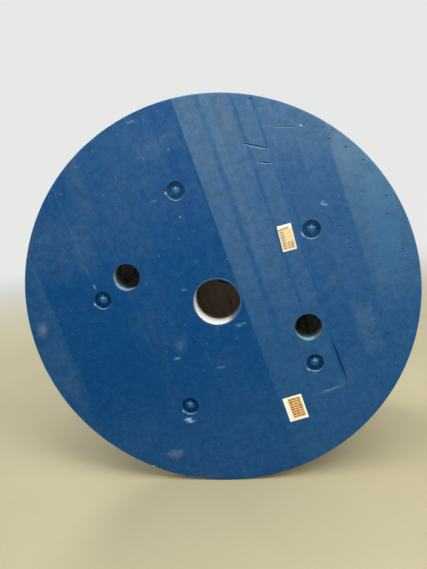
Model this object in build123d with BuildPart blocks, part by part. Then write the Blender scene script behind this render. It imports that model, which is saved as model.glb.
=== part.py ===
from build123d import *
import os
from math import cos, pi, radians, sin, tan

# Wooden cable drum standing on its two flange rims.
# Millimetres, +Z up. The origin is on the spindle axis, halfway between the flanges.
# The spindle axis is Y and the front flange faces -Y.

# Flanges: two crossed layers of boards each
FLANGE_DIAMETER = 1800.0
OUTER_BOARD_THICKNESS = 40.0
INNER_BOARD_THICKNESS = 40.0
BOARD_GAP = 1.0
BOARD_LEAN = 16.2
RIM_CHAMFER = 4.0
OUTER_SEAMS = (-743, -628, -513, -365, -231, -120, -5, 115, 223, 355, 434, 557, 680, 790)
INNER_BOARD_WIDTH = 119.0
NARROWEST_BOARD = 30.0

# Barrel: staves laid along the axis round a plank disc at each end
TRAVERSE_WIDTH = 900.0
BARREL_DIAMETER = 1200.0
STAVE_THICKNESS = 40.0
STAVE_COUNT = 36
STAVE_GAP = 1.0
DISC_THICKNESS = 45.0
DISC_PLANK_WIDTH = 140.0
SEAT_CLEARANCE = 0.3

# Tie rods: drilled by hand, so their angles are uneven, counted from +X
ROD_ANGLES = (35.4, 106.4, 176.4, 252.3, 324.7)
ROD_DIAMETER = 24.0
ROD_TO_STAVE = 31.0
ROD_HOLE_CLEARANCE = 1.0
ROD_PROJECTION = 6.0
THREAD_CLEARANCE = 0.1
WASHER_DIAMETER = 72.0
WASHER_THICKNESS = 5.0
NUT_ACROSS_FLATS = 36.0
NUT_HEIGHT = 21.5
ROD_CHAMFER = 2.0
RECESS_CLEARANCE = 4.0
HOLE_CHAMFER = 2.0

# Drive holes: two through each flange and its barrel disc
DRIVE_ANGLES = (161.6, 341.6)
DRIVE_HOLE_DIAMETER = 122.0
DRIVE_HOLE_TO_ROD_CIRCLE = 101.0

# Spindle hole, lined with a short plastic pipe
LINER_OUTER_DIAMETER = 225.0
LINER_WALL = 6.5
LINER_CLEARANCE = 0.3

# Paper labels on the front face: centre (X, Z), width, height and turn
LABEL_THICKNESS = 0.3
LABELS = {
    "label_upper": ((324.0, 276.0), 62.0, 116.0, 12.0),
    "label_lower": ((336.0, -527.0), 90.0, 122.0, 16.2),
}

FLANGE_THICKNESS = OUTER_BOARD_THICKNESS + INNER_BOARD_THICKNESS
OVERALL_WIDTH = TRAVERSE_WIDTH + 2 * FLANGE_THICKNESS
OUTER_FACE = OVERALL_WIDTH / 2
LAYER_JOINT = OUTER_FACE - OUTER_BOARD_THICKNESS
INNER_FACE = TRAVERSE_WIDTH / 2
DISC_FACE = INNER_FACE - DISC_THICKNESS
STAVE_SEAT_RADIUS = BARREL_DIAMETER / 2 - STAVE_THICKNESS
ROD_CIRCLE_RADIUS = STAVE_SEAT_RADIUS - ROD_TO_STAVE
DRIVE_CIRCLE_RADIUS = ROD_CIRCLE_RADIUS - DRIVE_HOLE_TO_ROD_CIRCLE
RECESS_RADIUS = WASHER_DIAMETER / 2 + RECESS_CLEARANCE
ROD_HOLE_RADIUS = ROD_DIAMETER / 2 + ROD_HOLE_CLEARANCE
SPINDLE_HOLE_RADIUS = LINER_OUTER_DIAMETER / 2 + LINER_CLEARANCE
NUT_SEAT = LAYER_JOINT + WASHER_THICKNESS
ROD_END = NUT_SEAT + NUT_HEIGHT + ROD_PROJECTION

os.makedirs("parts", exist_ok=True)


def front_plane(distance):
    """A plane square to the axis in front of the origin, with X right, Z up and its normal outwards."""
    return Plane(origin=(0, -distance, 0), x_dir=(1, 0, 0), z_dir=(0, -1, 0))


def on_circle(radius, angle):
    """The point of a circle about the axis at an angle from +X, in a front plane's own X and Y."""
    return (radius * cos(radians(angle)), radius * sin(radians(angle)))


def rod_points():
    """The five tie-rod centres in a front plane."""
    return [on_circle(ROD_CIRCLE_RADIUS, angle) for angle in ROD_ANGLES]


def drive_points():
    """The two drive-hole centres in a front plane."""
    return [on_circle(DRIVE_CIRCLE_RADIUS, angle) for angle in DRIVE_ANGLES]


def even_seams(board_width, radius):
    """Seams of boards of one width, laid out from a board centred on the axis."""
    count = int((radius - board_width / 2) // board_width) + 1
    right = [board_width * (i + 0.5) for i in range(count)]
    return [-s for s in reversed(right)] + right


def board_layer(outside, thickness, radius, seams, lean, rod_hole_radius, chamfered=False):
    """A round layer of boards whose seams lie at the given offsets across the lean direction."""
    with BuildPart() as layer:
        with BuildSketch(front_plane(outside)):
            Circle(radius)
            Circle(SPINDLE_HOLE_RADIUS, mode=Mode.SUBTRACT)
            with Locations(*rod_points()):
                Circle(rod_hole_radius, mode=Mode.SUBTRACT)
            with Locations(*drive_points()):
                Circle(DRIVE_HOLE_DIAMETER / 2, mode=Mode.SUBTRACT)
        extrude(amount=-thickness)
        if chamfered:
            face_edges = layer.edges().filter_by(GeomType.CIRCLE).group_by(Axis.Y)[0]
            rim = face_edges.sort_by(SortBy.RADIUS)[-1]
            holes = [e for e in face_edges if e.radius < SPINDLE_HOLE_RADIUS - HOLE_CHAMFER]
            chamfer(rim, length=RIM_CHAMFER)
            chamfer(holes, length=HOLE_CHAMFER)
        with BuildSketch(front_plane(outside)):
            inside = [s for s in seams if abs(s) < radius - NARROWEST_BOARD]
            with Locations(*[on_circle(s, lean) for s in inside]):
                Rectangle(BOARD_GAP, 2 * radius, rotation=lean)
        extrude(amount=-thickness, mode=Mode.SUBTRACT)
    return layer.part


def save(piece, name):
    """Labels a finished piece and writes it."""
    piece.label = name
    export_step(piece, f"parts/{name}.step")


def save_both_ends(front_piece, name):
    """Writes a front piece, and the same piece mirrored to the back."""
    save(front_piece, f"front_{name}")
    with BuildPart() as back_piece:
        mirror(front_piece, about=Plane.XZ)
    save(back_piece.part, f"back_{name}")


# Outer boards, with the recesses for the nuts bored right through them
flange_radius = FLANGE_DIAMETER / 2
save_both_ends(
    board_layer(
        OUTER_FACE,
        OUTER_BOARD_THICKNESS,
        flange_radius,
        OUTER_SEAMS,
        BOARD_LEAN,
        RECESS_RADIUS,
        chamfered=True,
    ),
    "outer_boards",
)

# Inner boards, crossed at a right angle behind the outer ones
save_both_ends(
    board_layer(
        LAYER_JOINT,
        INNER_BOARD_THICKNESS,
        flange_radius,
        even_seams(INNER_BOARD_WIDTH, flange_radius),
        BOARD_LEAN + 90,
        ROD_HOLE_RADIUS,
    ),
    "inner_boards",
)

# Barrel discs, which lie against the inner boards and carry the staves
disc_radius = STAVE_SEAT_RADIUS - SEAT_CLEARANCE
save_both_ends(
    board_layer(
        INNER_FACE,
        DISC_THICKNESS,
        disc_radius,
        even_seams(DISC_PLANK_WIDTH, disc_radius),
        BOARD_LEAN,
        ROD_HOLE_RADIUS,
    ),
    "barrel_disc",
)

# Staves, flat boards held end to end between the flanges
stave_width = 2 * STAVE_SEAT_RADIUS * tan(pi / STAVE_COUNT) - STAVE_GAP
with BuildPart() as barrel_staves:
    with BuildSketch(front_plane(INNER_FACE)):
        with PolarLocations(STAVE_SEAT_RADIUS + STAVE_THICKNESS / 2, STAVE_COUNT):
            Rectangle(STAVE_THICKNESS, stave_width)
    extrude(amount=-TRAVERSE_WIDTH)
save(barrel_staves.part, "barrel_staves")

# Tie rods with a washer and a nut at each end
for number, (x, z) in enumerate(rod_points(), start=1):
    with BuildPart() as tie_rod:
        with BuildSketch(front_plane(ROD_END)):
            with Locations((x, z)):
                Circle(ROD_DIAMETER / 2)
        extrude(amount=-2 * ROD_END)
        chamfer(tie_rod.edges().filter_by(GeomType.CIRCLE), length=ROD_CHAMFER)
    save(tie_rod.part, f"tie_rod_{number}")

    with BuildPart() as washer:
        with BuildSketch(front_plane(LAYER_JOINT)):
            with Locations((x, z)):
                Circle(WASHER_DIAMETER / 2)
                Circle(ROD_HOLE_RADIUS, mode=Mode.SUBTRACT)
        extrude(amount=WASHER_THICKNESS)
    save_both_ends(washer.part, f"washer_{number}")

    with BuildPart() as nut:
        with BuildSketch(front_plane(NUT_SEAT)):
            with Locations((x, z)):
                RegularPolygon(NUT_ACROSS_FLATS / 2, side_count=6, major_radius=False)
                Circle(ROD_DIAMETER / 2 + THREAD_CLEARANCE, mode=Mode.SUBTRACT)
        extrude(amount=NUT_HEIGHT)
    save_both_ends(nut.part, f"nut_{number}")

# Spindle liners, as long as the wall that they line
with BuildPart() as spindle_liner:
    with BuildSketch(front_plane(OUTER_FACE)):
        Circle(LINER_OUTER_DIAMETER / 2)
        Circle(LINER_OUTER_DIAMETER / 2 - LINER_WALL, mode=Mode.SUBTRACT)
    extrude(amount=DISC_FACE - OUTER_FACE)
save_both_ends(spindle_liner.part, "spindle_liner")

# Paper labels stuck on the front face
for name, ((x, z), width, height, turn) in LABELS.items():
    with BuildPart() as label:
        with BuildSketch(front_plane(OUTER_FACE)):
            with Locations((x, z)):
                Rectangle(width, height, rotation=turn)
        extrude(amount=LABEL_THICKNESS)
    save(label.part, name)
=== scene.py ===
"""Wooden cable drum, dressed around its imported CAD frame.

Metres, +Z up. The spindle axis is Y through the origin, and the front flange faces -Y.
"""

import logging
import math
import random
from abc import ABC, abstractmethod
from contextlib import contextmanager
from dataclasses import dataclass, field
from enum import Enum
from typing import Callable, ClassVar, Iterator, Sequence

import bmesh
import bpy
from mathutils import Matrix, Vector


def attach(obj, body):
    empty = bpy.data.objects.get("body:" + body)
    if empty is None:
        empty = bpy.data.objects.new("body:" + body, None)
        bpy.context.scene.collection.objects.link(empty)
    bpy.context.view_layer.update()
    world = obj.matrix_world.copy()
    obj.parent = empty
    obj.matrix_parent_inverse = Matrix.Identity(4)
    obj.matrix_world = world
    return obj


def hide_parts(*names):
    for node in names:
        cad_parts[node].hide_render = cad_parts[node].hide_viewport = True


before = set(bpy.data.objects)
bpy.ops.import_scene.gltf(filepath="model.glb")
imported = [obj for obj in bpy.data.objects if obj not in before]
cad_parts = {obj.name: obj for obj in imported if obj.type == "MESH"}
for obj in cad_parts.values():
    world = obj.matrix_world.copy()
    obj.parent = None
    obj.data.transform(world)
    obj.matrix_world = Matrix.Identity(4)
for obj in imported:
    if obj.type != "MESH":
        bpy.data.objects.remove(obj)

LOG = logging.getLogger("cable_drum")
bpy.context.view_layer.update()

Point = tuple[float, float]
Colour = tuple[float, float, float]
Object = bpy.types.Object
Socket = bpy.types.NodeSocket

FLANGE_RADIUS = 0.9
OUTER_FACE = 0.53
LAYER_JOINT = 0.49
INNER_FACE = 0.45
DISC_FACE = 0.405
LAYER_THICKNESS = 0.04
LEAN = math.radians(16.2)
ROD_CIRCLE = 0.529
ROD_ANGLES = (35.4, 106.4, 176.4, 252.3, 324.7)
DRIVE_CIRCLE = 0.428
DRIVE_ANGLES = (161.6, 341.6)
RECESS_RADIUS = 0.040
ROD_HOLE_RADIUS = 0.013
DRIVE_HOLE_RADIUS = 0.061
BORE_RADIUS = 0.1128
OUTER_SEAMS = (-0.743, -0.628, -0.513, -0.365, -0.231, -0.120, -0.005,
               0.115, 0.223, 0.355, 0.434, 0.557, 0.680, 0.790)
INNER_BOARD_PITCH = 0.119
INNER_SEAMS = tuple(INNER_BOARD_PITCH * (i - 6.5) for i in range(14))

# Distances within which a place counts as reached, and a face as part of an edge
TOUCHING = 1e-5
MERGING = 1e-6
FACE_DEPTH = 0.012
HOLE_REACH = 0.005
RIM_REACH = 0.0045

# Tones tagged on faces: painted boards up to 1.5, then from a trace of scar to a bare one; the scar
# tones also paint pale highlights on recess lips and on the upward faces of gouges
TONE = "tone"
DARKEST_TONE, LIGHTEST_TONE = 0.0, 1.5
SCAR_START, SCRAPE_HIGHLIGHT_TONE, SCAR_TONE = 1.6, 1.76, 2.0

# The sides, counted from +X, where a recess's lip takes a painted highlight and a drive hole's wall
# shows its coat most, the side the light falls on
RECESS_HIGHLIGHT_SIDE = math.radians(262)
DRIVE_LIT_SIDE = math.radians(235)


class Side(Enum):
    """The two flanges, named by the end of the axis that they stand at."""

    FRONT = "front"
    BACK = "back"


class Seam(Enum):
    """How a seam between two boards shows: half its gap, then its worn edges' width and depth."""

    OPEN = (0.0005, 0.0020, 0.0020)
    FILLED = (0.00001, 0.0008, 0.00002)


class Pick(Enum):
    """The kinds of element that can be selected in edit mode, with their operator names."""

    VERTS = "VERT"
    EDGES = "EDGE"
    FACES = "FACE"


class Cut(Enum):
    """What is left of a piece when another mesh carves it."""

    AWAY = "DIFFERENCE"
    SHARED = "INTERSECT"


def on_circle(radius: float, degrees: float) -> Point:
    """Returns the X and Z of a point on a circle about the axis, its angle counted from +X."""
    angle = math.radians(degrees)
    return radius * math.cos(angle), radius * math.sin(angle)


def rod_points() -> list[Point]:
    """Returns the X and Z of the five tie rods."""
    return [on_circle(ROD_CIRCLE, angle) for angle in ROD_ANGLES]


def drive_points() -> list[Point]:
    """Returns the X and Z of the two drive holes."""
    return [on_circle(DRIVE_CIRCLE, angle) for angle in DRIVE_ANGLES]


def distance_to(points: Sequence[Point], x: float, z: float) -> float:
    """Returns how far a place is from the nearest of several points."""
    return min(math.dist((x, z), point) for point in points)


def take_up(piece: Object) -> Object:
    """Selects one object alone, makes it active and returns it.

    Args:
        piece: the object.

    Returns:
        The same object.
    """
    bpy.ops.object.select_all(action="DESELECT")
    piece.select_set(True)
    bpy.context.view_layer.objects.active = piece
    return piece


def added(operator: Callable[..., set], **settings: object) -> Object:
    """Adds a primitive, a lamp or a camera, with nothing else selected.

    Args:
        operator: the operator that adds it.
        settings: the operator's own settings.

    Returns:
        The new object.
    """
    bpy.ops.object.select_all(action="DESELECT")
    operator(**settings)
    return bpy.context.view_layer.objects.active


@contextmanager
def editing(piece: Object) -> Iterator[None]:
    """Holds a piece in edit mode, with nothing else selected.

    Args:
        piece: the piece that is edited.

    Yields:
        Nothing, with the piece in edit mode.
    """
    take_up(piece)
    bpy.ops.object.mode_set(mode="EDIT")
    yield
    bpy.ops.object.mode_set(mode="OBJECT")


def pick(piece: Object, kind: Pick, test: Callable[..., bool]) -> int:
    """Selects the elements of the mesh in edit mode that pass a test, and no others.

    Args:
        piece: the object that is in edit mode.
        kind: vertices, edges or faces.
        test: takes one element and says whether it is wanted.

    Returns:
        How many elements are selected.
    """
    bpy.ops.mesh.select_mode(type=kind.value)
    bpy.ops.mesh.select_all(action="DESELECT")
    mesh = bmesh.from_edit_mesh(piece.data)
    found = [element for element in getattr(mesh, kind.name.lower()) if test(element)]
    for element in found:
        element.select_set(True)
    mesh.select_flush_mode()
    bmesh.update_edit_mesh(piece.data)
    return len(found)


def slice_at(point: Vector, normal: Vector, trim: bool = False) -> None:
    """Cuts the mesh in edit mode with a plane.

    Args:
        point: a point of the plane.
        normal: the plane's normal.
        trim: whether what lies on the normal's side goes, with the cut closed.
    """
    bpy.ops.mesh.select_all(action="SELECT")
    bpy.ops.mesh.bisect(
        plane_co=point, plane_no=normal, use_fill=trim, clear_outer=trim, threshold=MERGING
    )


def slice_evenly(length: float, count: int, way: Vector) -> None:
    """Cuts the mesh in edit mode, whose middle is at the origin, into equal stretches.

    Args:
        length: the mesh's length.
        count: the number of stretches.
        way: the direction of the length.
    """
    for i in range(1, count):
        slice_at(way * (length * (i / count - 0.5)), way)


def slide(offset: Sequence[float]) -> None:
    """Moves what is selected in edit mode."""
    bpy.ops.transform.translate(value=offset)


def outward(piece: Object) -> None:
    """Merges the doubles of a closed mesh and turns its faces outwards.

    Args:
        piece: the piece with the mesh.
    """
    with editing(piece):
        bpy.ops.mesh.select_all(action="SELECT")
        bpy.ops.mesh.remove_doubles(threshold=MERGING)
        bpy.ops.mesh.normals_make_consistent(inside=False)


def settle(piece: Object) -> Object:
    """Puts a piece's place, turn and scale in its mesh, and returns it.

    Args:
        piece: the piece.

    Returns:
        The same piece, at the origin.
    """
    take_up(piece)
    bpy.ops.object.transform_apply(location=True, rotation=True, scale=True)
    return piece


def named(piece: Object, name: str) -> Object:
    """Names a piece and its mesh, and returns it.

    Args:
        piece: the piece.
        name: its name.

    Returns:
        The same piece.
    """
    piece.name = name
    piece.data.name = name
    return piece


def copy_of(piece: Object, place: Sequence[float] = (0, 0, 0)) -> Object:
    """Copies a piece together with its mesh.

    Args:
        piece: what is copied.
        place: where the copy is moved to.

    Returns:
        The copy.
    """
    twin = piece.copy()
    twin.data = piece.data.copy()
    bpy.context.scene.collection.objects.link(twin)
    twin.matrix_world = Matrix.Translation(place)
    return twin


def joined(pieces: Sequence[Object], name: str) -> Object:
    """Joins several pieces into one, with its place in its mesh, and returns it.

    Args:
        pieces: what is joined.
        name: the whole's name.

    Returns:
        The whole.
    """
    bpy.ops.object.select_all(action="DESELECT")
    for piece in pieces:
        piece.select_set(True)
    bpy.context.view_layer.objects.active = pieces[0]
    if len(pieces) > 1:
        bpy.ops.object.join()
    return named(settle(bpy.context.view_layer.objects.active), name)


def scrap(piece: Object) -> None:
    """Throws away a piece that only served to make others."""
    bpy.data.objects.remove(piece, do_unlink=True)


def modified(piece: Object, kind: str, **settings: object) -> None:
    """Shapes a piece with one modifier, and applies it.

    Args:
        piece: the piece.
        kind: the modifier's type.
        settings: the modifier's own settings.
    """
    take_up(piece)
    modifier = piece.modifiers.new(kind.lower(), kind)
    for name, value in settings.items():
        setattr(modifier, name, value)
    bpy.ops.object.modifier_apply(modifier=modifier.name)


def carve(piece: Object, tool: Object, cut: Cut = Cut.AWAY) -> None:
    """Carves a piece with another closed mesh, which is then thrown away.

    Args:
        piece: what is carved.
        tool: the closed mesh that carves it.
        cut: what is left of the piece.
    """
    modified(piece, "BOOLEAN", operation=cut.value, object=tool, solver="EXACT")
    scrap(tool)


def eased(piece: Object, width: float, segments: int, angle: float) -> None:
    """Rounds the sharp edges of a piece.

    Args:
        piece: what is eased.
        width: the width of the rounding.
        segments: its number of faces across.
        angle: the least angle of an edge that is rounded, in degrees.
    """
    modified(piece, "BEVEL", width=width, segments=segments, limit_method="ANGLE",
             angle_limit=math.radians(angle))


def smoothed(piece: Object, angle: float) -> None:
    """Shades a piece smooth, but for its edges sharper than an angle in degrees."""
    take_up(piece)
    bpy.ops.object.shade_smooth_by_angle(angle=math.radians(angle))


def round_bar(centre: Sequence[float], radius: float, depth: float, sides: int) -> Object:
    """Adds a round bar along Y.

    Args:
        centre: the bar's middle.
        radius: its radius.
        depth: its length along Y.
        sides: how many flat sides make the round.

    Returns:
        The bar, with its place in its mesh.
    """
    return settle(added(
        bpy.ops.mesh.primitive_cylinder_add, vertices=sides, radius=radius, depth=depth,
        location=centre, rotation=(math.pi / 2, 0, 0)
    ))


def tag(piece: Object, tones: float | Sequence[float]) -> None:
    """Writes a tone onto each face of a piece, for its material to read.

    Args:
        piece: the piece that is tagged.
        tones: one tone for all faces, or one for each.
    """
    count = len(piece.data.polygons)
    attribute = piece.data.attributes.get(TONE)
    if attribute is None:
        attribute = piece.data.attributes.new(TONE, "FLOAT", "FACE")
    row = [tones] * count if isinstance(tones, float) else list(tones)
    attribute.data.foreach_set("value", row)


def enrol(piece: Object, nodes: Sequence[str] = ()) -> Object:
    """Makes a finished piece part of the object.

    Args:
        piece: the finished piece.
        nodes: the CAD nodes that it stands for.

    Returns:
        The piece.
    """
    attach(piece, "root")
    if nodes:
        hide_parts(*nodes)
    LOG.info("%s: %d faces", piece.name, len(piece.data.polygons))
    return piece


class NodeBench:
    """Lays out and links the nodes of one procedural material, or of the world."""

    def __init__(self, owner: bpy.types.Material | bpy.types.World) -> None:
        """Starts with an empty node tree.

        Args:
            owner: the new material or world.
        """
        owner.use_nodes = True
        self.owner = owner
        self.tree = owner.node_tree
        self.tree.nodes.clear()

    def node(self, kind: str, feeds: dict | None = None, **settings: object) -> bpy.types.Node:
        """Adds a node.

        Args:
            kind: the node's type.
            feeds: what goes into its sockets, by name or number: a socket or a plain value.
            settings: the node's own properties.

        Returns:
            The node.
        """
        made = self.tree.nodes.new(kind)
        for key, value in settings.items():
            setattr(made, key, value)
        for key, value in (feeds or {}).items():
            if isinstance(value, bpy.types.NodeSocket):
                self.tree.links.new(value, made.inputs[key])
            else:
                made.inputs[key].default_value = value
        return made

    def place(self) -> Socket:
        """Returns the point on the piece, in the drum's own frame."""
        return self.node("ShaderNodeTexCoord").outputs["Object"]

    def turned(self, vector: Socket, about_y: float) -> Socket:
        """Returns a vector turned about the Y axis by an angle in radians."""
        return self.node(
            "ShaderNodeMapping", {"Vector": vector, "Rotation": (0, about_y, 0)}
        ).outputs["Vector"]

    def vectors(self, operation: str, *terms: Socket | Sequence[float]) -> Socket:
        """Returns the result of a vector operation: a number for a length, or else a vector."""
        made = self.node("ShaderNodeVectorMath", dict(enumerate(terms)), operation=operation)
        return made.outputs["Value" if operation in ("LENGTH", "DISTANCE") else "Vector"]

    def stretched(self, vector: Socket, factors: Sequence[float]) -> Socket:
        """Returns a vector with each of its parts multiplied."""
        return self.vectors("MULTIPLY", vector, tuple(factors))

    def evenly(self, value: Socket) -> Socket:
        """Returns a vector whose three parts are one value."""
        return self.node("ShaderNodeCombineXYZ", {0: value, 1: value, 2: value}).outputs[0]

    def off_axis(self, vector: Socket) -> Socket:
        """Returns the distance of a point from the Y axis."""
        return self.vectors("LENGTH", self.stretched(vector, (1, 0, 1)))

    def parts(self, vector: Socket) -> tuple[Socket, Socket, Socket]:
        """Returns the X, Y and Z of a vector."""
        split = self.node("ShaderNodeSeparateXYZ", {0: vector})
        return split.outputs[0], split.outputs[1], split.outputs[2]

    def tone(self) -> Socket:
        """Returns the tone that tag() wrote on the piece's faces."""
        return self.node("ShaderNodeAttribute", attribute_name=TONE).outputs["Fac"]

    def sums(self, operation: str, *terms: Socket | float, clamp: bool = False) -> Socket:
        """Returns the result of a math operation on sockets or numbers."""
        feeds = dict(enumerate(terms))
        return self.node(
            "ShaderNodeMath", feeds, operation=operation, use_clamp=clamp
        ).outputs[0]

    def noise(self, vector: Socket, scale: float, detail: float = 4.0, rough: float = 0.5,
              warp: float = 0.0) -> Socket:
        """Returns soft random patches from 0 to 1.

        Args:
            vector: the pattern's coordinates.
            scale: patches for each unit of the coordinates.
            detail: how many finer layers are added.
            rough: how strong the finer layers are.
            warp: how far the pattern is pushed about.

        Returns:
            The pattern.
        """
        feeds = {"Vector": vector, "Scale": scale, "Detail": detail, "Roughness": rough,
                 "Distortion": warp}
        return self.node("ShaderNodeTexNoise", feeds).outputs["Fac"]

    def ramp(self, value: Socket, start: float, end: float, low: float = 0.0,
             high: float = 1.0) -> Socket:
        """Returns a value eased from low to high as it goes from start to end."""
        feeds = {"Value": value, "From Min": start, "From Max": end, "To Min": low, "To Max": high}
        return self.node(
            "ShaderNodeMapRange", feeds, interpolation_type="SMOOTHSTEP", clamp=False
        ).outputs["Result"]

    def blend(self, share: Socket | float, first: Socket | Colour,
              second: Socket | Colour) -> Socket:
        """Returns a colour between two others.

        Args:
            share: how much of the second colour is taken, from 0 to 1.
            first: the first colour.
            second: the second colour.

        Returns:
            The mixed colour.
        """
        colours = [c if isinstance(c, bpy.types.NodeSocket) else (*c, 1.0) for c in (first, second)]
        feeds = {0: share, 6: colours[0], 7: colours[1]}
        return self.node(
            "ShaderNodeMix", feeds, data_type="RGBA", clamp_factor=False
        ).outputs[2]

    def bump(self, height: Socket, depth: float, under: Socket | None = None) -> Socket:
        """Returns a normal raised by a height from 0 to 1.

        Args:
            height: the pattern of the relief.
            depth: the relief's full depth in metres.
            under: the normal of a coarser relief below this one.

        Returns:
            The normal.
        """
        feeds = {"Height": height, "Distance": depth, "Strength": 1.0}
        if under is not None:
            feeds["Normal"] = under
        return self.node("ShaderNodeBump", feeds).outputs["Normal"]

    def finish(self, colour: Socket, roughness: Socket | float, normal: Socket,
               **plain: float) -> bpy.types.Material:
        """Ends the material with its surface shader.

        Args:
            colour: the base colour.
            roughness: the roughness.
            normal: the normal with its relief.
            plain: other sockets of the shader, each set to one number.

        Returns:
            The finished material.
        """
        feeds = {"Base Color": colour, "Roughness": roughness, "Normal": normal}
        for name, value in plain.items():
            feeds[name.replace("_", " ")] = value
        shader = self.node("ShaderNodeBsdfPrincipled", feeds)
        self.node("ShaderNodeOutputMaterial", {"Surface": shader.outputs["BSDF"]})
        return self.owner


@dataclass(frozen=True)
class Stain:
    """A worn or dirty patch, or a painted highlight, on a painted flange: where it is, how large and
    of what colour.
    """

    centre: Point
    half_width: float
    half_length: float
    turn: float
    colour: Colour
    strength: float
    ragged: float = 0.9
    soft: float = 0.9
    grit: float = 55.0

    def mask(self, bench: NodeBench, place: Socket) -> Socket:
        """Returns the patch's strength at each point of the flange.

        Args:
            bench: the material's nodes.
            place: the point on the flange.

        Returns:
            The share of its colour.
        """
        x, z = self.centre
        feeds = {"Vector": place, "Location": (x, 0, z), "Rotation": (0, math.radians(-self.turn), 0),
                 "Scale": (self.half_width, 1e3, self.half_length)}
        local = bench.node("ShaderNodeMapping", feeds, vector_type="TEXTURE").outputs[0]
        reach = bench.vectors("LENGTH", local)
        torn = bench.noise(place, self.grit, 5.0, 0.65)
        edge = bench.sums("MULTIPLY_ADD", torn, self.ragged * 2, reach)
        return bench.ramp(edge, 1.1 + self.ragged, 1.1 - self.soft + self.ragged, 0.0,
                          self.strength)


class Finish(ABC):
    """A finish that can be laid on a piece as a procedural material."""

    name: str
    made: ClassVar[dict] = {}

    @abstractmethod
    def mix(self) -> bpy.types.Material:
        """Builds the material."""

    def bench(self) -> NodeBench:
        """Starts the finish's material and returns the bench that its nodes are laid out on."""
        return NodeBench(bpy.data.materials.new(self.name))

    def material(self) -> bpy.types.Material:
        """Returns the finish's material, built once."""
        if self not in Finish.made:
            Finish.made[self] = self.mix()
        return Finish.made[self]

    def lay(self, piece: Object) -> None:
        """Puts the material on the whole of a piece."""
        lay_by_face(piece, (self,), [self] * len(piece.data.polygons))


def lay_by_face(piece: Object, finishes: Sequence[Finish], choices: Sequence[Finish]) -> None:
    """Lays several finishes on a piece.

    Args:
        piece: the piece.
        finishes: all its finishes, in the order of its material slots.
        choices: the finish of each face.
    """
    piece.data.materials.clear()
    for finish in finishes:
        piece.data.materials.append(finish.material())
    for face, choice in zip(piece.data.polygons, choices):
        face.material_index = finishes.index(choice)


@dataclass(frozen=True)
class SheenShadeBand:
    """A soft-edged stretch of boards with painted sheen where the paint is greyer, or with painted
    shade where it is negative and the paint deeper.

    Its limits, and the widths of its soft edges, are measured across the boards and along them.
    """

    across: tuple[float, float]
    along: tuple[float, float]
    amount: float
    soft: tuple[float, float]

    def mask(self, bench: NodeBench, across: Socket, along: Socket) -> Socket:
        """Returns the haze's strength at each point of the flange.

        Args:
            bench: the material's nodes.
            across: the place across the boards.
            Returns the band's strength at each point of the flange.

        Returns:
            How far it greys the paint.
        """
        share: Socket | float = self.amount
        for place, (low, high), fade in ((across, self.across, self.soft[0]),
                                         (along, self.along, self.soft[1])):
            share = bench.sums("MULTIPLY", bench.ramp(place, low, low + fade), share)
            share = bench.sums("MULTIPLY", bench.ramp(place, high, high - fade), share)
        return share


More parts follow.
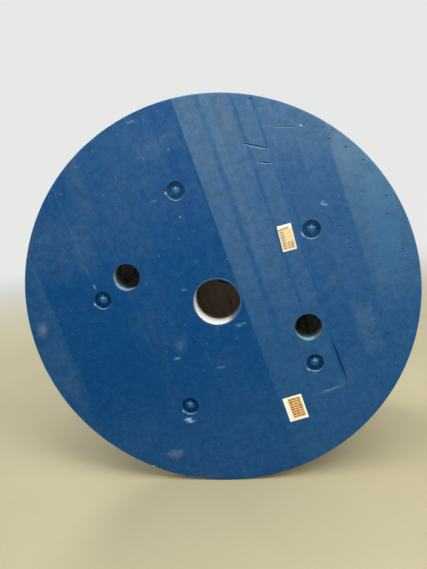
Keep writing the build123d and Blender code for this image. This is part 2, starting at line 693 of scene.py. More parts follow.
@dataclass(frozen=True)
class Enamel(Finish):
    """Blue paint on boards, lighter on boards that are tagged so, and greyed towards the top as
    painted sheen.
    """

    name: str
    deep: Colour = (0.001, 0.0435, 0.143)
    light: Colour = (0.011, 0.063, 0.166)
    # pale: the greyer blue of the painted sheen
    pale: Colour = (0.042, 0.100, 0.182)
    # scar: pale bare scars, and also the painted highlights on recess lips and gouges
    scar: Colour = (0.230, 0.360, 0.490)
    edge: Colour = (0.230, 0.380, 0.520)
    stains: tuple[Stain, ...] = ()
    sheen_shade_bands: tuple[SheenShadeBand, ...] = ()
    shine: float = 0.105

    def sheen_and_mottle(self, bench: NodeBench, place: Socket, spot: tuple[Socket, Socket], tone: Socket,
             streaks: tuple[Socket, Socket]) -> Socket:
        """Works out how far the paint is greyed: painted sheen towards the top and on lighter-toned
        boards, painted sheen and shade in bands, and random mottling.

        Args:
            bench: the material's nodes.
            place: the point on the flange.
            spot: its place across the boards and along them.
            tone: the board's tone.
            streaks: the fine and the broad streaks along the boards.

        Returns:
            The share of the pale colour, which is painted sheen and mottling.
        """
        across, along = spot
        # Painted sheen: the paint greys towards the top, more on lighter-toned boards.
        rise = bench.sums("MULTIPLY", bench.ramp(along, -0.50, 0.66), tone)
        share = bench.sums("MULTIPLY_ADD", rise, 0.82, bench.ramp(along, 0.25, 0.90, 0.0, 0.16))
        mottle = bench.noise(place, 24.0, 5.0, 0.65)
        grains = (
            (streaks[0], 0.10, 0.16),
            (streaks[1], 0.14, 0.22),
            (bench.noise(place, 3.6, 6.0, 0.62), 0.44, 0.42),
            (mottle, 0.44, 0.52),
            (bench.noise(bench.stretched(place, (90, 90, 260)), 1.0, 3.0, 0.6), 0.30, 0.40),
        )
        for pattern, plain, greyed in grains:
            size = bench.sums("MULTIPLY_ADD", tone, greyed - plain, plain)
            share = bench.sums("MULTIPLY_ADD", bench.sums("SUBTRACT", pattern, 0.5), size, share)
        patchy = bench.ramp(mottle, 0.30, 0.60, 0.55, 1.25)
        # Painted sheen and shade in bands across the front boards.
        for sheen_band in self.sheen_shade_bands:
            share = bench.sums("MULTIPLY_ADD", sheen_band.mask(bench, across, along), patchy, share)
        return bench.sums("MAXIMUM", share, -0.02)

    def speckled(self, bench: NodeBench, place: Socket, colour: Socket) -> Socket:
        """Adds short pale ticks and a fine speckle.

        Args:
            bench: the material's nodes.
            place: the point on the flange.
            colour: the colour so far.

        Returns:
            The colour with its ticks and speckle.
        """
        ticks = bench.noise(bench.stretched(place, (48, 48, 230)), 1.0, 3.0, 0.55)
        few = bench.ramp(bench.noise(place, 5.0, 3.0, 0.5), 0.45, 0.65)
        tick = bench.sums("MULTIPLY", bench.ramp(ticks, 0.66, 0.76, 0.0, 0.30), few)
        colour = bench.blend(tick, colour, self.scar)
        speckle = bench.sums("ADD", bench.noise(place, 30.0, 4.0, 0.6), bench.noise(
            bench.stretched(place, (150, 150, 210)), 1.0, 3.0, 0.6))
        mottle = bench.sums("MULTIPLY_ADD", bench.sums("SUBTRACT", speckle, 1.0), 0.78, 1.0)
        return bench.vectors("MULTIPLY", colour, bench.evenly(mottle))

    def chipped(self, bench: NodeBench, place: Socket, colour: Socket) -> Socket:
        """Wears the paint off the very edge of the rim, most of all at the lower left.

        Args:
            bench: the material's nodes.
            place: the point on the flange.
            colour: the colour so far.

        Returns:
            The colour with its worn edge.
        """
        ragged = bench.noise(place, 40.0, 5.0, 0.7)
        edge = bench.sums("MULTIPLY_ADD", ragged, 0.004, bench.off_axis(place))
        side, _, height = bench.parts(place)
        low_left = bench.sums("MULTIPLY_ADD", height, -0.50, bench.sums("MULTIPLY", side, -0.87))
        worn = bench.sums("MULTIPLY", bench.ramp(edge, 0.8970, 0.8990),
                          bench.ramp(low_left, 0.66, 0.86, 0.12, 0.85))
        return bench.blend(worn, colour, self.edge)

    def mix(self) -> bpy.types.Material:
        """Builds the paint."""
        bench = self.bench()
        place = bench.place()
        boards = bench.turned(place, LEAN)
        across, _, along = bench.parts(boards)
        fine = bench.noise(bench.stretched(boards, (95, 95, 2.2)), 1.0, 6.0, 0.62)
        broad = bench.noise(bench.stretched(boards, (15, 15, 1.4)), 1.0, 3.0, 0.5)
        tagged = bench.tone()
        tone = bench.sums("MINIMUM", tagged, LIGHTEST_TONE)
        foot = bench.ramp(along, -0.25, -0.75, 0.0, 0.7)
        # Lighter-toned boards take the lighter blue: partly real paint tone, partly painted sheen.
        lighter = bench.sums("ADD", foot, bench.ramp(tone, 0.15, 1.0))
        colour = bench.blend(bench.sums("MINIMUM", lighter, 1.0), self.deep, self.light)
        # The pale colour laid by this share is painted sheen, mixed with random mottling.
        sheen_and_mottle = self.sheen_and_mottle(bench, place, (across, along), tone, (fine, broad))
        colour = bench.blend(sheen_and_mottle, colour, self.pale)
        colour = self.speckled(bench, place, colour)
        for stain in self.stains:
            colour = bench.blend(stain.mask(bench, place), colour, stain.colour)
        # Scars and painted highlights: the scar tones turn the paint pale.
        scar_and_highlight = bench.ramp(tagged, SCAR_START, SCAR_TONE)
        colour = bench.blend(bench.sums("MULTIPLY", scar_and_highlight, 0.8), colour, self.scar)
        colour = self.chipped(bench, place, colour)
        roller = bench.noise(place, 210.0, 3.0, 0.55)
        relief = bench.bump(fine, 0.0006, bench.bump(bench.noise(place, 5.0, 4.0, 0.6), 0.0030))
        relief = bench.bump(roller, 0.00022, relief)
        gloss = bench.ramp(broad, 0.2, 0.8, 0.26, 0.40)
        return bench.finish(colour, gloss, relief, Specular_IOR_Level=self.shine)


@dataclass(frozen=True)
class SawnWood(Finish):
    """Bare sawn softwood, gone grey-brown, with its grain along the boards."""

    name: str
    lean: float = 0.0
    along_axis: bool = False
    light: Colour = (0.42, 0.32, 0.21)
    dark: Colour = (0.19, 0.13, 0.08)
    grey: Colour = (0.34, 0.31, 0.27)
    knot: Colour = (0.075, 0.045, 0.027)
    hole_shade: Colour = (0.045, 0.042, 0.036)
    weathering: float = 0.55
    shaded_holes: bool = False
    knotty: bool = True

    def mix(self) -> bpy.types.Material:
        """Builds the wood."""
        bench = self.bench()
        place = bench.place()
        boards = bench.turned(place, self.lean)
        along = 1 if self.along_axis else 2
        tone = bench.tone()
        shift = bench.sums("MULTIPLY", tone, 7.0)
        moved = bench.vectors("ADD", boards, bench.evenly(shift))

        def stretch(across: float, length: float) -> Socket:
            """Returns the coordinates with the grain drawn out along the board.

            Args:
                across: the pattern's scale across the board.
                length: its scale along the board.

            Returns:
                The coordinates.
            """
            factors = [across] * 3
            factors[along] = length
            return bench.stretched(moved, factors)

        fibre = bench.noise(stretch(130, 3.5), 1.0, 7.0, 0.65, 0.3)
        rings = bench.noise(stretch(26, 1.3), 1.0, 4.0, 0.55, 1.1)
        stripes = bench.node(
            "ShaderNodeTexWave",
            {"Vector": stretch(11, 0.55), "Scale": 1.0, "Distortion": 7.0, "Detail": 3.0},
            bands_direction="DIAGONAL",
        ).outputs["Fac"]
        knots = bench.node(
            "ShaderNodeTexVoronoi", {"Vector": stretch(9, 2.6), "Scale": 1.0, "Randomness": 1.0}
        ).outputs["Distance"]
        cloud = bench.noise(place, 5.0, 4.0, 0.6)
        saw = bench.noise(stretch(7, 420), 1.0, 2.0, 0.5)
        grain = bench.sums("MULTIPLY_ADD", stripes, 0.35, bench.sums("MULTIPLY", rings, 0.55))
        grain = bench.sums("MULTIPLY_ADD", bench.sums("SUBTRACT", fibre, 0.5), 0.9, grain)
        colour = bench.blend(bench.sums("MULTIPLY", grain, 1.0, clamp=True), self.light, self.dark)
        silver = bench.ramp(cloud, 0.3, 0.75, self.weathering * 0.55, self.weathering * 1.25)
        colour = bench.blend(silver, colour, bench.blend(fibre, self.grey, self.dark))
        shade = bench.ramp(tone, 0.0, 1.0, 0.72, 1.12)
        colour = bench.vectors("MULTIPLY", colour, bench.evenly(shade))
        if self.knotty:
            colour = bench.blend(bench.ramp(knots, 0.16, 0.05), colour, self.knot)
        # Painted shade: the disc darkens round the drive holes, deep inside the drum.
        if self.shaded_holes:
            for x, z in drive_points():
                off = bench.vectors("DISTANCE", bench.stretched(place, (1, 0, 1)), (x, 0, z))
                colour = bench.blend(bench.ramp(off, 0.068, 0.062), colour, self.hole_shade)
        relief = bench.bump(rings, 0.0016)
        relief = bench.bump(fibre, 0.0012, relief)
        relief = bench.bump(saw, 0.0004, relief)
        return bench.finish(colour, bench.ramp(fibre, 0.2, 0.8, 0.72, 0.90), relief,
                            Specular_IOR_Level=0.25)


@dataclass(frozen=True)
class RimWood(Finish):
    """The flange's edge: whitish worn wood with scraps of primer and blue overspray."""

    name: str
    base: Colour = (0.50, 0.48, 0.43)
    dirt: Colour = (0.20, 0.17, 0.13)
    primer: Colour = (0.33, 0.27, 0.19)
    spray: Colour = (0.045, 0.150, 0.270)

    def mix(self) -> bpy.types.Material:
        """Builds the edge."""
        bench = self.bench()
        place = bench.place()
        _, y, _ = bench.parts(place)
        fibre = bench.noise(bench.stretched(place, (60, 260, 60)), 1.0, 6.0, 0.65)
        patch = bench.noise(place, 16.0, 5.0, 0.65)
        colour = bench.blend(bench.ramp(fibre, 0.35, 0.75, 0.0, 0.65), self.base, self.dirt)
        colour = bench.blend(bench.ramp(patch, 0.52, 0.72, 0.0, 0.6), colour, self.primer)
        depth = bench.sums("ABSOLUTE", y)
        near = bench.sums("MULTIPLY_ADD", bench.noise(place, 30.0, 5.0, 0.7), 0.034, depth)
        colour = bench.blend(bench.ramp(near, 0.5405, 0.5450, 0.0, 0.75), colour, self.spray)
        relief = bench.bump(patch, 0.002)
        relief = bench.bump(fibre, 0.0012, relief)
        return bench.finish(colour, 0.78, relief, Specular_IOR_Level=0.25)


@dataclass(frozen=True)
class PipePlastic(Finish):
    """White plastic pipe, dirtier towards its far end and there darkened with painted shade, its lip
    and right side caught by the blue paint.
    """

    name: str
    white: Colour = (0.82, 0.82, 0.77)
    dirt: Colour = (0.40, 0.33, 0.22)
    shadow: Colour = (0.085, 0.060, 0.040)
    paint: Colour = (0.010, 0.070, 0.170)
    spray: Colour = (0.080, 0.170, 0.250)
    dirt_and_shade_depth: float = 0.441
    gloss: float = 0.4

    def mix(self) -> bpy.types.Material:
        """Builds the plastic."""
        bench = self.bench()
        place = bench.place()
        x, y, z = bench.parts(place)
        depth = bench.sums("ABSOLUTE", y)
        smear = bench.noise(bench.stretched(place, (9, 30, 9)), 1.0, 5.0, 0.6)
        blotch = bench.noise(place, 30.0, 5.0, 0.65)
        grit = bench.noise(place, 160.0, 3.0, 0.6)
        colour = bench.blend(bench.ramp(smear, 0.50, 0.80, 0.0, 0.35), self.white, self.dirt)
        reach = bench.sums("MULTIPLY_ADD", blotch, 0.010, depth)
        colour = bench.blend(bench.ramp(reach, self.dirt_and_shade_depth + 0.015, self.dirt_and_shade_depth + 0.001,
                                        0.0, 0.6), colour, self.dirt)
        # Painted shade: the far end, deep in the drum, darkens to the shadow colour.
        colour = bench.blend(bench.ramp(reach, self.dirt_and_shade_depth, self.dirt_and_shade_depth - 0.010, 0.0, 0.95),
                             colour, self.shadow)
        slant = bench.sums("MULTIPLY_ADD", z, 0.55, x)
        sprayed = bench.sums("MULTIPLY_ADD", blotch, 0.030, slant)
        colour = bench.blend(bench.ramp(sprayed, -0.002, 0.042, 0.0, 0.90), colour, self.spray)
        lip = bench.sums("MULTIPLY_ADD", blotch, 0.002, depth)
        colour = bench.blend(bench.ramp(lip, 0.5272, 0.5282), colour, self.paint)
        relief = bench.bump(grit, 0.0002, bench.bump(smear, 0.0008))
        dull = bench.ramp(reach, self.dirt_and_shade_depth + 0.010, self.dirt_and_shade_depth - 0.010, 0.0, 0.5)
        rough = bench.sums("ADD", bench.ramp(smear, 0.3, 0.8, 0.34, 0.55), dull)
        return bench.finish(colour, bench.sums("MINIMUM", rough, 0.95), relief,
                            Specular_IOR_Level=self.gloss)


@dataclass(frozen=True)
class PaintedSteel(Finish):
    """Steel under thick blue paint, paler where its faces are tagged so: partly worn paint, partly
    painted highlight and painted light.
    """

    name: str
    deep: Colour = (0.001, 0.058, 0.190)
    rubbed_and_lit: Colour = (0.026, 0.108, 0.235)
    bright: Colour = (0.360, 0.450, 0.540)

    def mix(self) -> bpy.types.Material:
        """Builds the painted steel."""
        bench = self.bench()
        place = bench.place()
        run = bench.noise(place, 70.0, 4.0, 0.6)
        fine = bench.noise(place, 420.0, 4.0, 0.6)
        # The tagged tones paint highlights on the upper slopes and light on the front faces.
        worn = bench.sums("MULTIPLY_ADD", bench.sums("SUBTRACT", run, 0.5), 0.9, bench.tone())
        colour = bench.blend(bench.ramp(worn, 0.10, 0.60), self.deep, self.rubbed_and_lit)
        colour = bench.blend(bench.ramp(worn, 0.70, 1.10), colour, self.bright)
        relief = bench.bump(fine, 0.0002, bench.bump(run, 0.0010))
        return bench.finish(colour, bench.ramp(run, 0.3, 0.7, 0.32, 0.45), relief,
                            Specular_IOR_Level=0.05)


@dataclass(frozen=True)
class RodSteel(Finish):
    """Dull plain steel bar with light rust."""

    name: str
    steel: Colour = (0.17, 0.16, 0.155)
    rusty: Colour = (0.10, 0.052, 0.028)

    def mix(self) -> bpy.types.Material:
        """Builds the steel."""
        bench = self.bench()
        place = bench.place()
        rust = bench.noise(place, 45.0, 6.0, 0.7)
        drawn = bench.noise(bench.stretched(place, (300, 12, 300)), 1.0, 4.0, 0.6)
        colour = bench.blend(bench.ramp(rust, 0.36, 0.62), self.steel, self.rusty)
        relief = bench.bump(drawn, 0.0003, bench.bump(rust, 0.0006))
        return bench.finish(colour, bench.ramp(rust, 0.4, 0.7, 0.48, 0.80), relief, Metallic=0.35)


@dataclass(frozen=True)
class DrivePaint(Finish):
    """Thin pale blue paint on the sawn wall of a hole, with a ragged end inside it; deeper in, the
    wall is painted dark, partly dirt and partly painted shade.
    """

    name: str
    coat: Colour = (0.215, 0.430, 0.510)
    # wood: the dark wall deeper in, partly dirt and partly painted shade
    wood: Colour = (0.050, 0.060, 0.052)
    end: float = 0.484

    def mix(self) -> bpy.types.Material:
        """Builds the thin coat."""
        bench = self.bench()
        place = bench.place()
        _, y, _ = bench.parts(place)
        thin = bench.noise(place, 42.0, 5.0, 0.65)
        patch = bench.noise(place, 11.0, 4.0, 0.6)
        ring = bench.noise(bench.stretched(place, (20, 300, 20)), 1.0, 4.0, 0.6)
        depth = bench.sums("MULTIPLY_ADD", patch, 0.050, bench.sums("ABSOLUTE", y))
        covered = bench.ramp(depth, self.end + 0.017, self.end + 0.029)
        worn = bench.sums("MULTIPLY", bench.ramp(thin, 0.42, 0.66, 1.0, 0.30), bench.tone())
        colour = bench.blend(bench.sums("MULTIPLY", covered, worn), self.wood, self.coat)
        relief = bench.bump(ring, 0.0008, bench.bump(thin, 0.0015))
        return bench.finish(colour, 0.5, relief, Specular_IOR_Level=0.4)


@dataclass(frozen=True)
class Print:
    """Plain ruled bars in rows and columns, in a window of a label whose sides run from 0 to 1."""

    left: float
    right: float
    low: float
    high: float
    rows: int
    columns: int
    coverage: float = 1.0
    strength: float = 1.0

    def window(self, bench: NodeBench, across: Socket, up: Socket) -> Socket:
        """Returns 1 inside the window and 0 outside it.

        Args:
            bench: the material's nodes.
            across: the place from left to right.
            up: the place from bottom to top.

        Returns:
            1 inside and 0 outside.
        """
        wide = bench.sums("MULTIPLY", bench.sums("GREATER_THAN", across, self.left),
                          bench.sums("LESS_THAN", across, self.right))
        tall = bench.sums("MULTIPLY", bench.sums("GREATER_THAN", up, self.low),
                          bench.sums("LESS_THAN", up, self.high))
        return bench.sums("MULTIPLY", wide, tall)

    def bars(self, bench: NodeBench, across: Socket, up: Socket) -> Socket:
        """Returns how much ink lies at each point.

        Args:
            bench: the material's nodes.
            across: the place from left to right.
            up: the place from bottom to top.

        Returns:
            The share of the ink.
        """
        column = bench.sums("MULTIPLY", bench.sums("SUBTRACT", across, self.left),
                            self.columns / (self.right - self.left))
        row = bench.sums("MULTIPLY", bench.sums("SUBTRACT", up, self.low),
                         self.rows / (self.high - self.low))
        off_column = bench.sums("PINGPONG", bench.sums("ADD", column, 0.5), 0.5)
        off_row = bench.sums("PINGPONG", bench.sums("ADD", row, 0.5), 0.5)
        bar = bench.sums("MULTIPLY", bench.ramp(off_column, 0.47, 0.41),
                         bench.ramp(off_row, 0.40, 0.30))
        cell = bench.node("ShaderNodeCombineXYZ", {
            0: bench.sums("FLOOR", column), 1: bench.sums("FLOOR", row), 2: self.left}).outputs[0]
        chance = bench.node("ShaderNodeTexWhiteNoise", {"Vector": cell}).outputs["Value"]
        shown = bench.sums("LESS_THAN", chance, self.coverage)
        bar = bench.sums("MULTIPLY", bench.sums("MULTIPLY", bar, shown),
                         bench.ramp(chance, 0.0, 1.0, 0.70 * self.strength, self.strength))
        return bench.sums("MULTIPLY", bar, self.window(bench, across, up))


@dataclass(frozen=True)
class LabelPaper(Finish):
    """Glossy label paper with a tinted block, plain bars and a rule where rule_at is on it."""

    name: str
    tinted: Print
    prints: tuple[Print, ...]
    paper: Colour = (0.78, 0.75, 0.60)
    tint: Colour = (0.80, 0.48, 0.17)
    ink: Colour = (0.20, 0.070, 0.016)
    rule_ink: Colour = (0.10, 0.060, 0.030)
    rule_at: float = -1.0

    def mix(self) -> bpy.types.Material:
        """Builds the printed paper."""
        bench = self.bench()
        place = bench.place()
        uv = bench.node("ShaderNodeTexCoord").outputs["UV"]
        across, up, _ = bench.parts(uv)
        fade = bench.noise(place, 60.0, 4.0, 0.6)
        block = bench.sums("MULTIPLY", self.tinted.window(bench, across, up), bench.ramp(
            fade, 0.3, 0.7, 1.0, 0.7))
        colour = bench.blend(block, self.paper, self.tint)
        for group in self.prints:
            colour = bench.blend(group.bars(bench, across, up), colour, self.ink)
        rule = bench.sums("ABSOLUTE", bench.sums("SUBTRACT", bench.sums(
            "MULTIPLY_ADD", across, -0.05, up), self.rule_at))
        ruled = bench.sums("MULTIPLY", bench.ramp(rule, 0.026, 0.014, 0.0, 0.9),
                           bench.ramp(across, 0.80, 0.74))
        colour = bench.blend(ruled, colour, self.rule_ink)
        return bench.finish(colour, 0.42, bench.bump(fade, 0.0005), Specular_IOR_Level=0.3)


# The painted highlight on the lower lip of each recess: how far it lies from the rod, then its
# bearing and half width
LIP_DISTANCE = 0.044
LIP_HIGHLIGHTS = ((3.63, 0.016), (3.33, 0.0085), (3.60, 0.0085), (3.79, 0.0080), (3.96, 0.012))
LIP_HIGHLIGHT_SPOTS = tuple(
    Stain((x + LIP_DISTANCE * math.cos(bearing), z + LIP_DISTANCE * math.sin(bearing)),
          half_width, 0.0065, math.degrees(bearing) - 90, (0.260, 0.390, 0.540), 0.75, 0.6, 1.0)
    for (x, z), (bearing, half_width) in zip(rod_points(), LIP_HIGHLIGHTS)
)

# The recess lips' painted highlights, then scuffs, dust and pale or dark patches, each at its place
# on the front face
FRONT_STAINS = LIP_HIGHLIGHT_SPOTS + (
    Stain((-0.590, 0.640), 0.045, 0.110, 16.2, (0.070, 0.110, 0.165), 0.26, 0.9, 1.3),
    Stain((-0.550, 0.462), 0.035, 0.060, 16.2, (0.065, 0.100, 0.150), 0.24, 0.9, 1.3),
    Stain((0.089, 0.800), 0.030, 0.110, 16.2, (0.075, 0.108, 0.150), 0.50),
    Stain((-0.838, -0.097), 0.034, 0.050, -20.0, (0.140, 0.175, 0.250), 0.60, 0.9, 1.3),
    Stain((-0.251, -0.754), 0.060, 0.032, 10.0, (0.120, 0.170, 0.220), 0.60, 0.9, 1.3),
    Stain((-0.182, -0.200), 0.036, 0.052, 0.0, (0.050, 0.130, 0.230), 0.50, 0.9, 1.3),
    Stain((-0.205, -0.263), 0.022, 0.008, 10.0, (0.120, 0.230, 0.340), 0.80, 0.9, 1.1),
    Stain((-0.003, -0.313), 0.030, 0.008, 5.0, (0.060, 0.150, 0.260), 0.70, 0.9, 1.1),
    Stain((-0.120, -0.882), 0.100, 0.014, 8.0, (0.080, 0.075, 0.080), 0.50),
    Stain((0.578, 0.626), 0.075, 0.150, 16.2, (0.120, 0.200, 0.300), 0.30, 0.9, 1.3),
    Stain((0.725, 0.339), 0.115, 0.430, 16.2, (0.034, 0.118, 0.235), 0.50, 0.9, 1.1),
    Stain((0.556, -0.359), 0.006, 0.110, 16.2, (0.001, 0.028, 0.090), 0.55, 0.9, 1.2),
    Stain((0.526, 0.085), 0.045, 0.060, 0.0, (0.050, 0.120, 0.210), 0.35, 0.9, 1.4),
    Stain((0.536, 0.072), 0.014, 0.024, 0.0, (0.010, 0.045, 0.110), 0.60, 0.9, 1.2),
    Stain((0.495, -0.439), 0.090, 0.014, 19.4, (0.060, 0.150, 0.260), 0.65, 1.3, 1.2),
    Stain((0.580, -0.385), 0.040, 0.040, 0.0, (0.050, 0.110, 0.190), 0.25),
    Stain((-0.168, -0.577), 0.025, 0.014, 0.0, (0.330, 0.440, 0.620), 0.90, 1.5, 1.0, 95.0),
    Stain((0.092, -0.112), 0.018, 0.011, 0.0, (0.090, 0.200, 0.310), 0.65, 1.2, 1.0, 110.0),
    Stain((0.118, -0.104), 0.012, 0.009, 0.0, (0.090, 0.200, 0.310), 0.65, 1.2, 1.0, 110.0),
    Stain((-0.148, 0.065), 0.018, 0.009, 0.0, (0.080, 0.190, 0.310), 0.60, 0.9, 1.1),
    Stain((-0.560, 0.098), 0.008, 0.015, 20.0, (0.120, 0.250, 0.380), 0.70, 0.6, 1.1),
    Stain((-0.321, 0.808), 0.022, 0.006, 12.0, (0.120, 0.230, 0.340), 0.80, 0.8),
    Stain((0.150, 0.350), 0.006, 0.024, 30.0, (0.002, 0.035, 0.120), 0.50, 0.8, 1.2),
    Stain((0.486, 0.413), 0.018, 0.011, -30.0, (0.160, 0.270, 0.380), 0.80, 1.3, 0.9, 110.0),
)

# Bands of painted shade beside the seams, and wide patches of painted sheen or shade on the front
# boards
FRONT_SHEEN_SHADE_BANDS = (
    SheenShadeBand((0.198, 0.232), (-0.36, 1.10), -0.42, (0.012, 0.15)),
    SheenShadeBand((0.339, 0.366), (0.06, 1.00), -0.44, (0.010, 0.10)),
    SheenShadeBand((0.340, 0.366), (-0.26, 0.16), -0.34, (0.010, 0.08)),
    SheenShadeBand((0.336, 0.366), (-0.64, -0.38), -0.14, (0.010, 0.06)),
    SheenShadeBand((0.100, 0.445), (0.26, 0.62), -0.22, (0.010, 0.12)),
    SheenShadeBand((0.225, 0.445), (0.50, 1.00), -0.14, (0.010, 0.12)),
    SheenShadeBand((0.424, 0.438), (0.54, 0.95), -0.75, (0.006, 0.05)),
    SheenShadeBand((0.427, 0.439), (-0.20, 0.56), -0.30, (0.005, 0.06)),
    SheenShadeBand((0.424, 0.441), (-0.60, -0.22), -0.80, (0.006, 0.04)),
    SheenShadeBand((0.437, 0.475), (-0.10, 0.50), -0.10, (0.010, 0.08)),
    SheenShadeBand((0.440, 0.560), (0.34, 0.60), -0.14, (0.010, 0.12)),
    SheenShadeBand((0.440, 0.560), (0.54, 1.10), 0.12, (0.010, 0.12)),
    SheenShadeBand((0.556, 0.680), (0.08, 0.54), -0.14, (0.010, 0.12)),
    SheenShadeBand((0.266, 0.284), (-0.56, -0.28), -0.12, (0.006, 0.05)),
    SheenShadeBand((0.284, 0.426), (-0.555, -0.20), 0.10, (0.010, 0.03)),
    SheenShadeBand((0.230, 0.270), (0.10, 1.00), 0.20, (0.010, 0.10)),
    SheenShadeBand((0.655, 0.679), (-0.15, 0.55), -0.12, (0.012, 0.08)),
    SheenShadeBand((0.680, 0.920), (0.10, 0.62), 0.14, (0.008, 0.15)),
    SheenShadeBand((0.680, 0.920), (-0.30, 0.25), 0.08, (0.008, 0.15)),
    SheenShadeBand((0.690, 0.770), (-0.20, 0.00), 0.16, (0.030, 0.06)),
    SheenShadeBand((-0.450, -0.364), (0.52, 0.90), 0.08, (0.014, 0.12)),
    SheenShadeBand((-0.526, -0.504), (0.24, 0.80), 0.14, (0.010, 0.10)),
    SheenShadeBand((-0.374, -0.360), (-0.50, 0.52), 0.07, (0.005, 0.05)),
    SheenShadeBand((-0.128, -0.112), (0.48, 0.72), 0.10, (0.006, 0.04)),
    SheenShadeBand((-0.120, 0.104), (0.675, 0.800), 0.20, (0.030, 0.04)),
    SheenShadeBand((-0.800, -0.400), (0.27, 0.64), 0.14, (0.060, 0.12)),
    SheenShadeBand((-0.600, -0.440), (0.52, 1.00), -0.08, (0.020, 0.08)),
    SheenShadeBand((-0.760, -0.420), (-0.34, 0.12), -0.08, (0.020, 0.10)),
    SheenShadeBand((0.440, 0.668), (0.10, 0.52), -0.14, (0.020, 0.12)),
    SheenShadeBand((0.284, 0.350), (-0.20, 0.50), -0.08, (0.040, 0.12)),
    SheenShadeBand((0.735, 0.920), (0.12, 0.60), 0.30, (0.050, 0.12)),
    SheenShadeBand((-0.760, -0.360), (0.02, 0.37), -0.08, (0.030, 0.10)),
    SheenShadeBand((-0.920, -0.765), (-0.55, 0.10), 0.12, (0.010, 0.10)),
    SheenShadeBand((0.330, 0.370), (-0.50, -0.28), -0.20, (0.018, 0.04)),
    SheenShadeBand((0.540, 0.665), (-0.48, -0.18), 0.34, (0.040, 0.08)),
)

BACK_STAINS = (
    Stain((0.420, -0.560), 0.060, 0.130, 16.2, (0.160, 0.170, 0.190), 0.50),
    Stain((-0.300, 0.700), 0.090, 0.030, 30.0, (0.200, 0.190, 0.180), 0.50),
    Stain((-0.640, -0.380), 0.030, 0.090, -12.0, (0.190, 0.240, 0.290), 0.50),
)

RIM = RimWood("rim_wood")
# The recess enamel's lighter colour is painted light, for the walls of the upper recesses.
RECESS_PAINT = Enamel("recess_enamel", deep=(0.002, 0.044, 0.135), light=(0.014, 0.090, 0.220),
                      shine=0.4)
# The lip enamel carries the painted highlight spots on the recess lips.
LIP_PAINT = Enamel("lip_enamel", light=(0.012, 0.075, 0.190), stains=LIP_HIGHLIGHT_SPOTS, shine=0.4)
# Dark enamel for the down-facing and steep faces of gouges and dents: painted shade.
CRACK_SHADE_PAINT = Enamel("crack_shade_enamel", deep=(0.001, 0.028, 0.088), light=(0.004, 0.042, 0.115))
DRIVE_PAINT = DrivePaint("drive_hole_paint")
# A darker copy for the inner boards' hole walls, deeper in: partly dirt, partly painted shade.
DRIVE_DIRT_AND_SHADE = DrivePaint("drive_hole_dirt_and_shade", coat=(0.110, 0.160, 0.160), wood=(0.045, 0.042, 0.036),
                        end=0.466)
CROSS_WOOD = SawnWood("inner_board_wood", lean=LEAN + math.pi / 2)
OUTER_WOOD = SawnWood("outer_board_wood", lean=LEAN, light=(0.30, 0.25, 0.19))
STAVE_WOOD = SawnWood("stave_wood", along_axis=True, light=(0.46, 0.36, 0.24))
# Painted light: the wood inside the drum is much lighter than the outer wood, standing in for the
# light that hardly reaches in.
INSIDE_WOOD = SawnWood("inside_wood", along_axis=True, light=(0.66, 0.68, 0.66),
                       dark=(0.47, 0.47, 0.45), weathering=0.0, knotty=False)
# Painted light: the barrel discs are lighter wood than the rest, for the same dim inside.
DISC_WOOD = SawnWood("barrel_disc_wood", lean=LEAN, light=(0.70, 0.55, 0.40),
                     dark=(0.50, 0.37, 0.25), weathering=0.0, shaded_holes=True)
STEEL_PAINT = PaintedSteel("painted_steel")
ROD_STEEL = RodSteel("rod_steel")
PIPE = PipePlastic("white_pipe")
# The back pipe's far end takes a near-black painted shade, and little gloss.
SHADED_PIPE = PipePlastic("shaded_pipe", shadow=(0.014, 0.011, 0.008), dirt_and_shade_depth=0.488,
                        gloss=0.05)


@dataclass(frozen=True)
class Hole:
    """A round hole along the axis: its centre, radius and the width of its worn lip."""

    centre: Point
    radius: float
    lip: float = 0.0
    sides: int = 72

    def tool(self, outside: float, depth: float) -> Object:
        """Models the shape that cuts the hole.

        Args:
            outside: how far the layer's outward face is from the origin.
            depth: the layer's thickness.

        Returns:
            A closed mesh that is flared at the outward face.
        """
        x, z = self.centre
        spare = 0.006
        start, end = -outside + self.lip, -outside + depth + spare
        bar = round_bar((x, (start + end) / 2, z), self.radius, end - start, self.sides)
        flare = self.lip + spare if self.lip else 0.0
        grown = (self.radius + flare) / self.radius
        with editing(bar):
            pick(bar, Pick.FACES, lambda face: face.normal.y < -0.9)
            bpy.ops.mesh.extrude_region_move(
                TRANSFORM_OT_translate={"value": (0, -self.lip - spare, 0)}
            )
            bpy.ops.transform.resize(
                value=(grown, 1, grown), center_override=(x, -outside - spare, z)
            )
        return bar


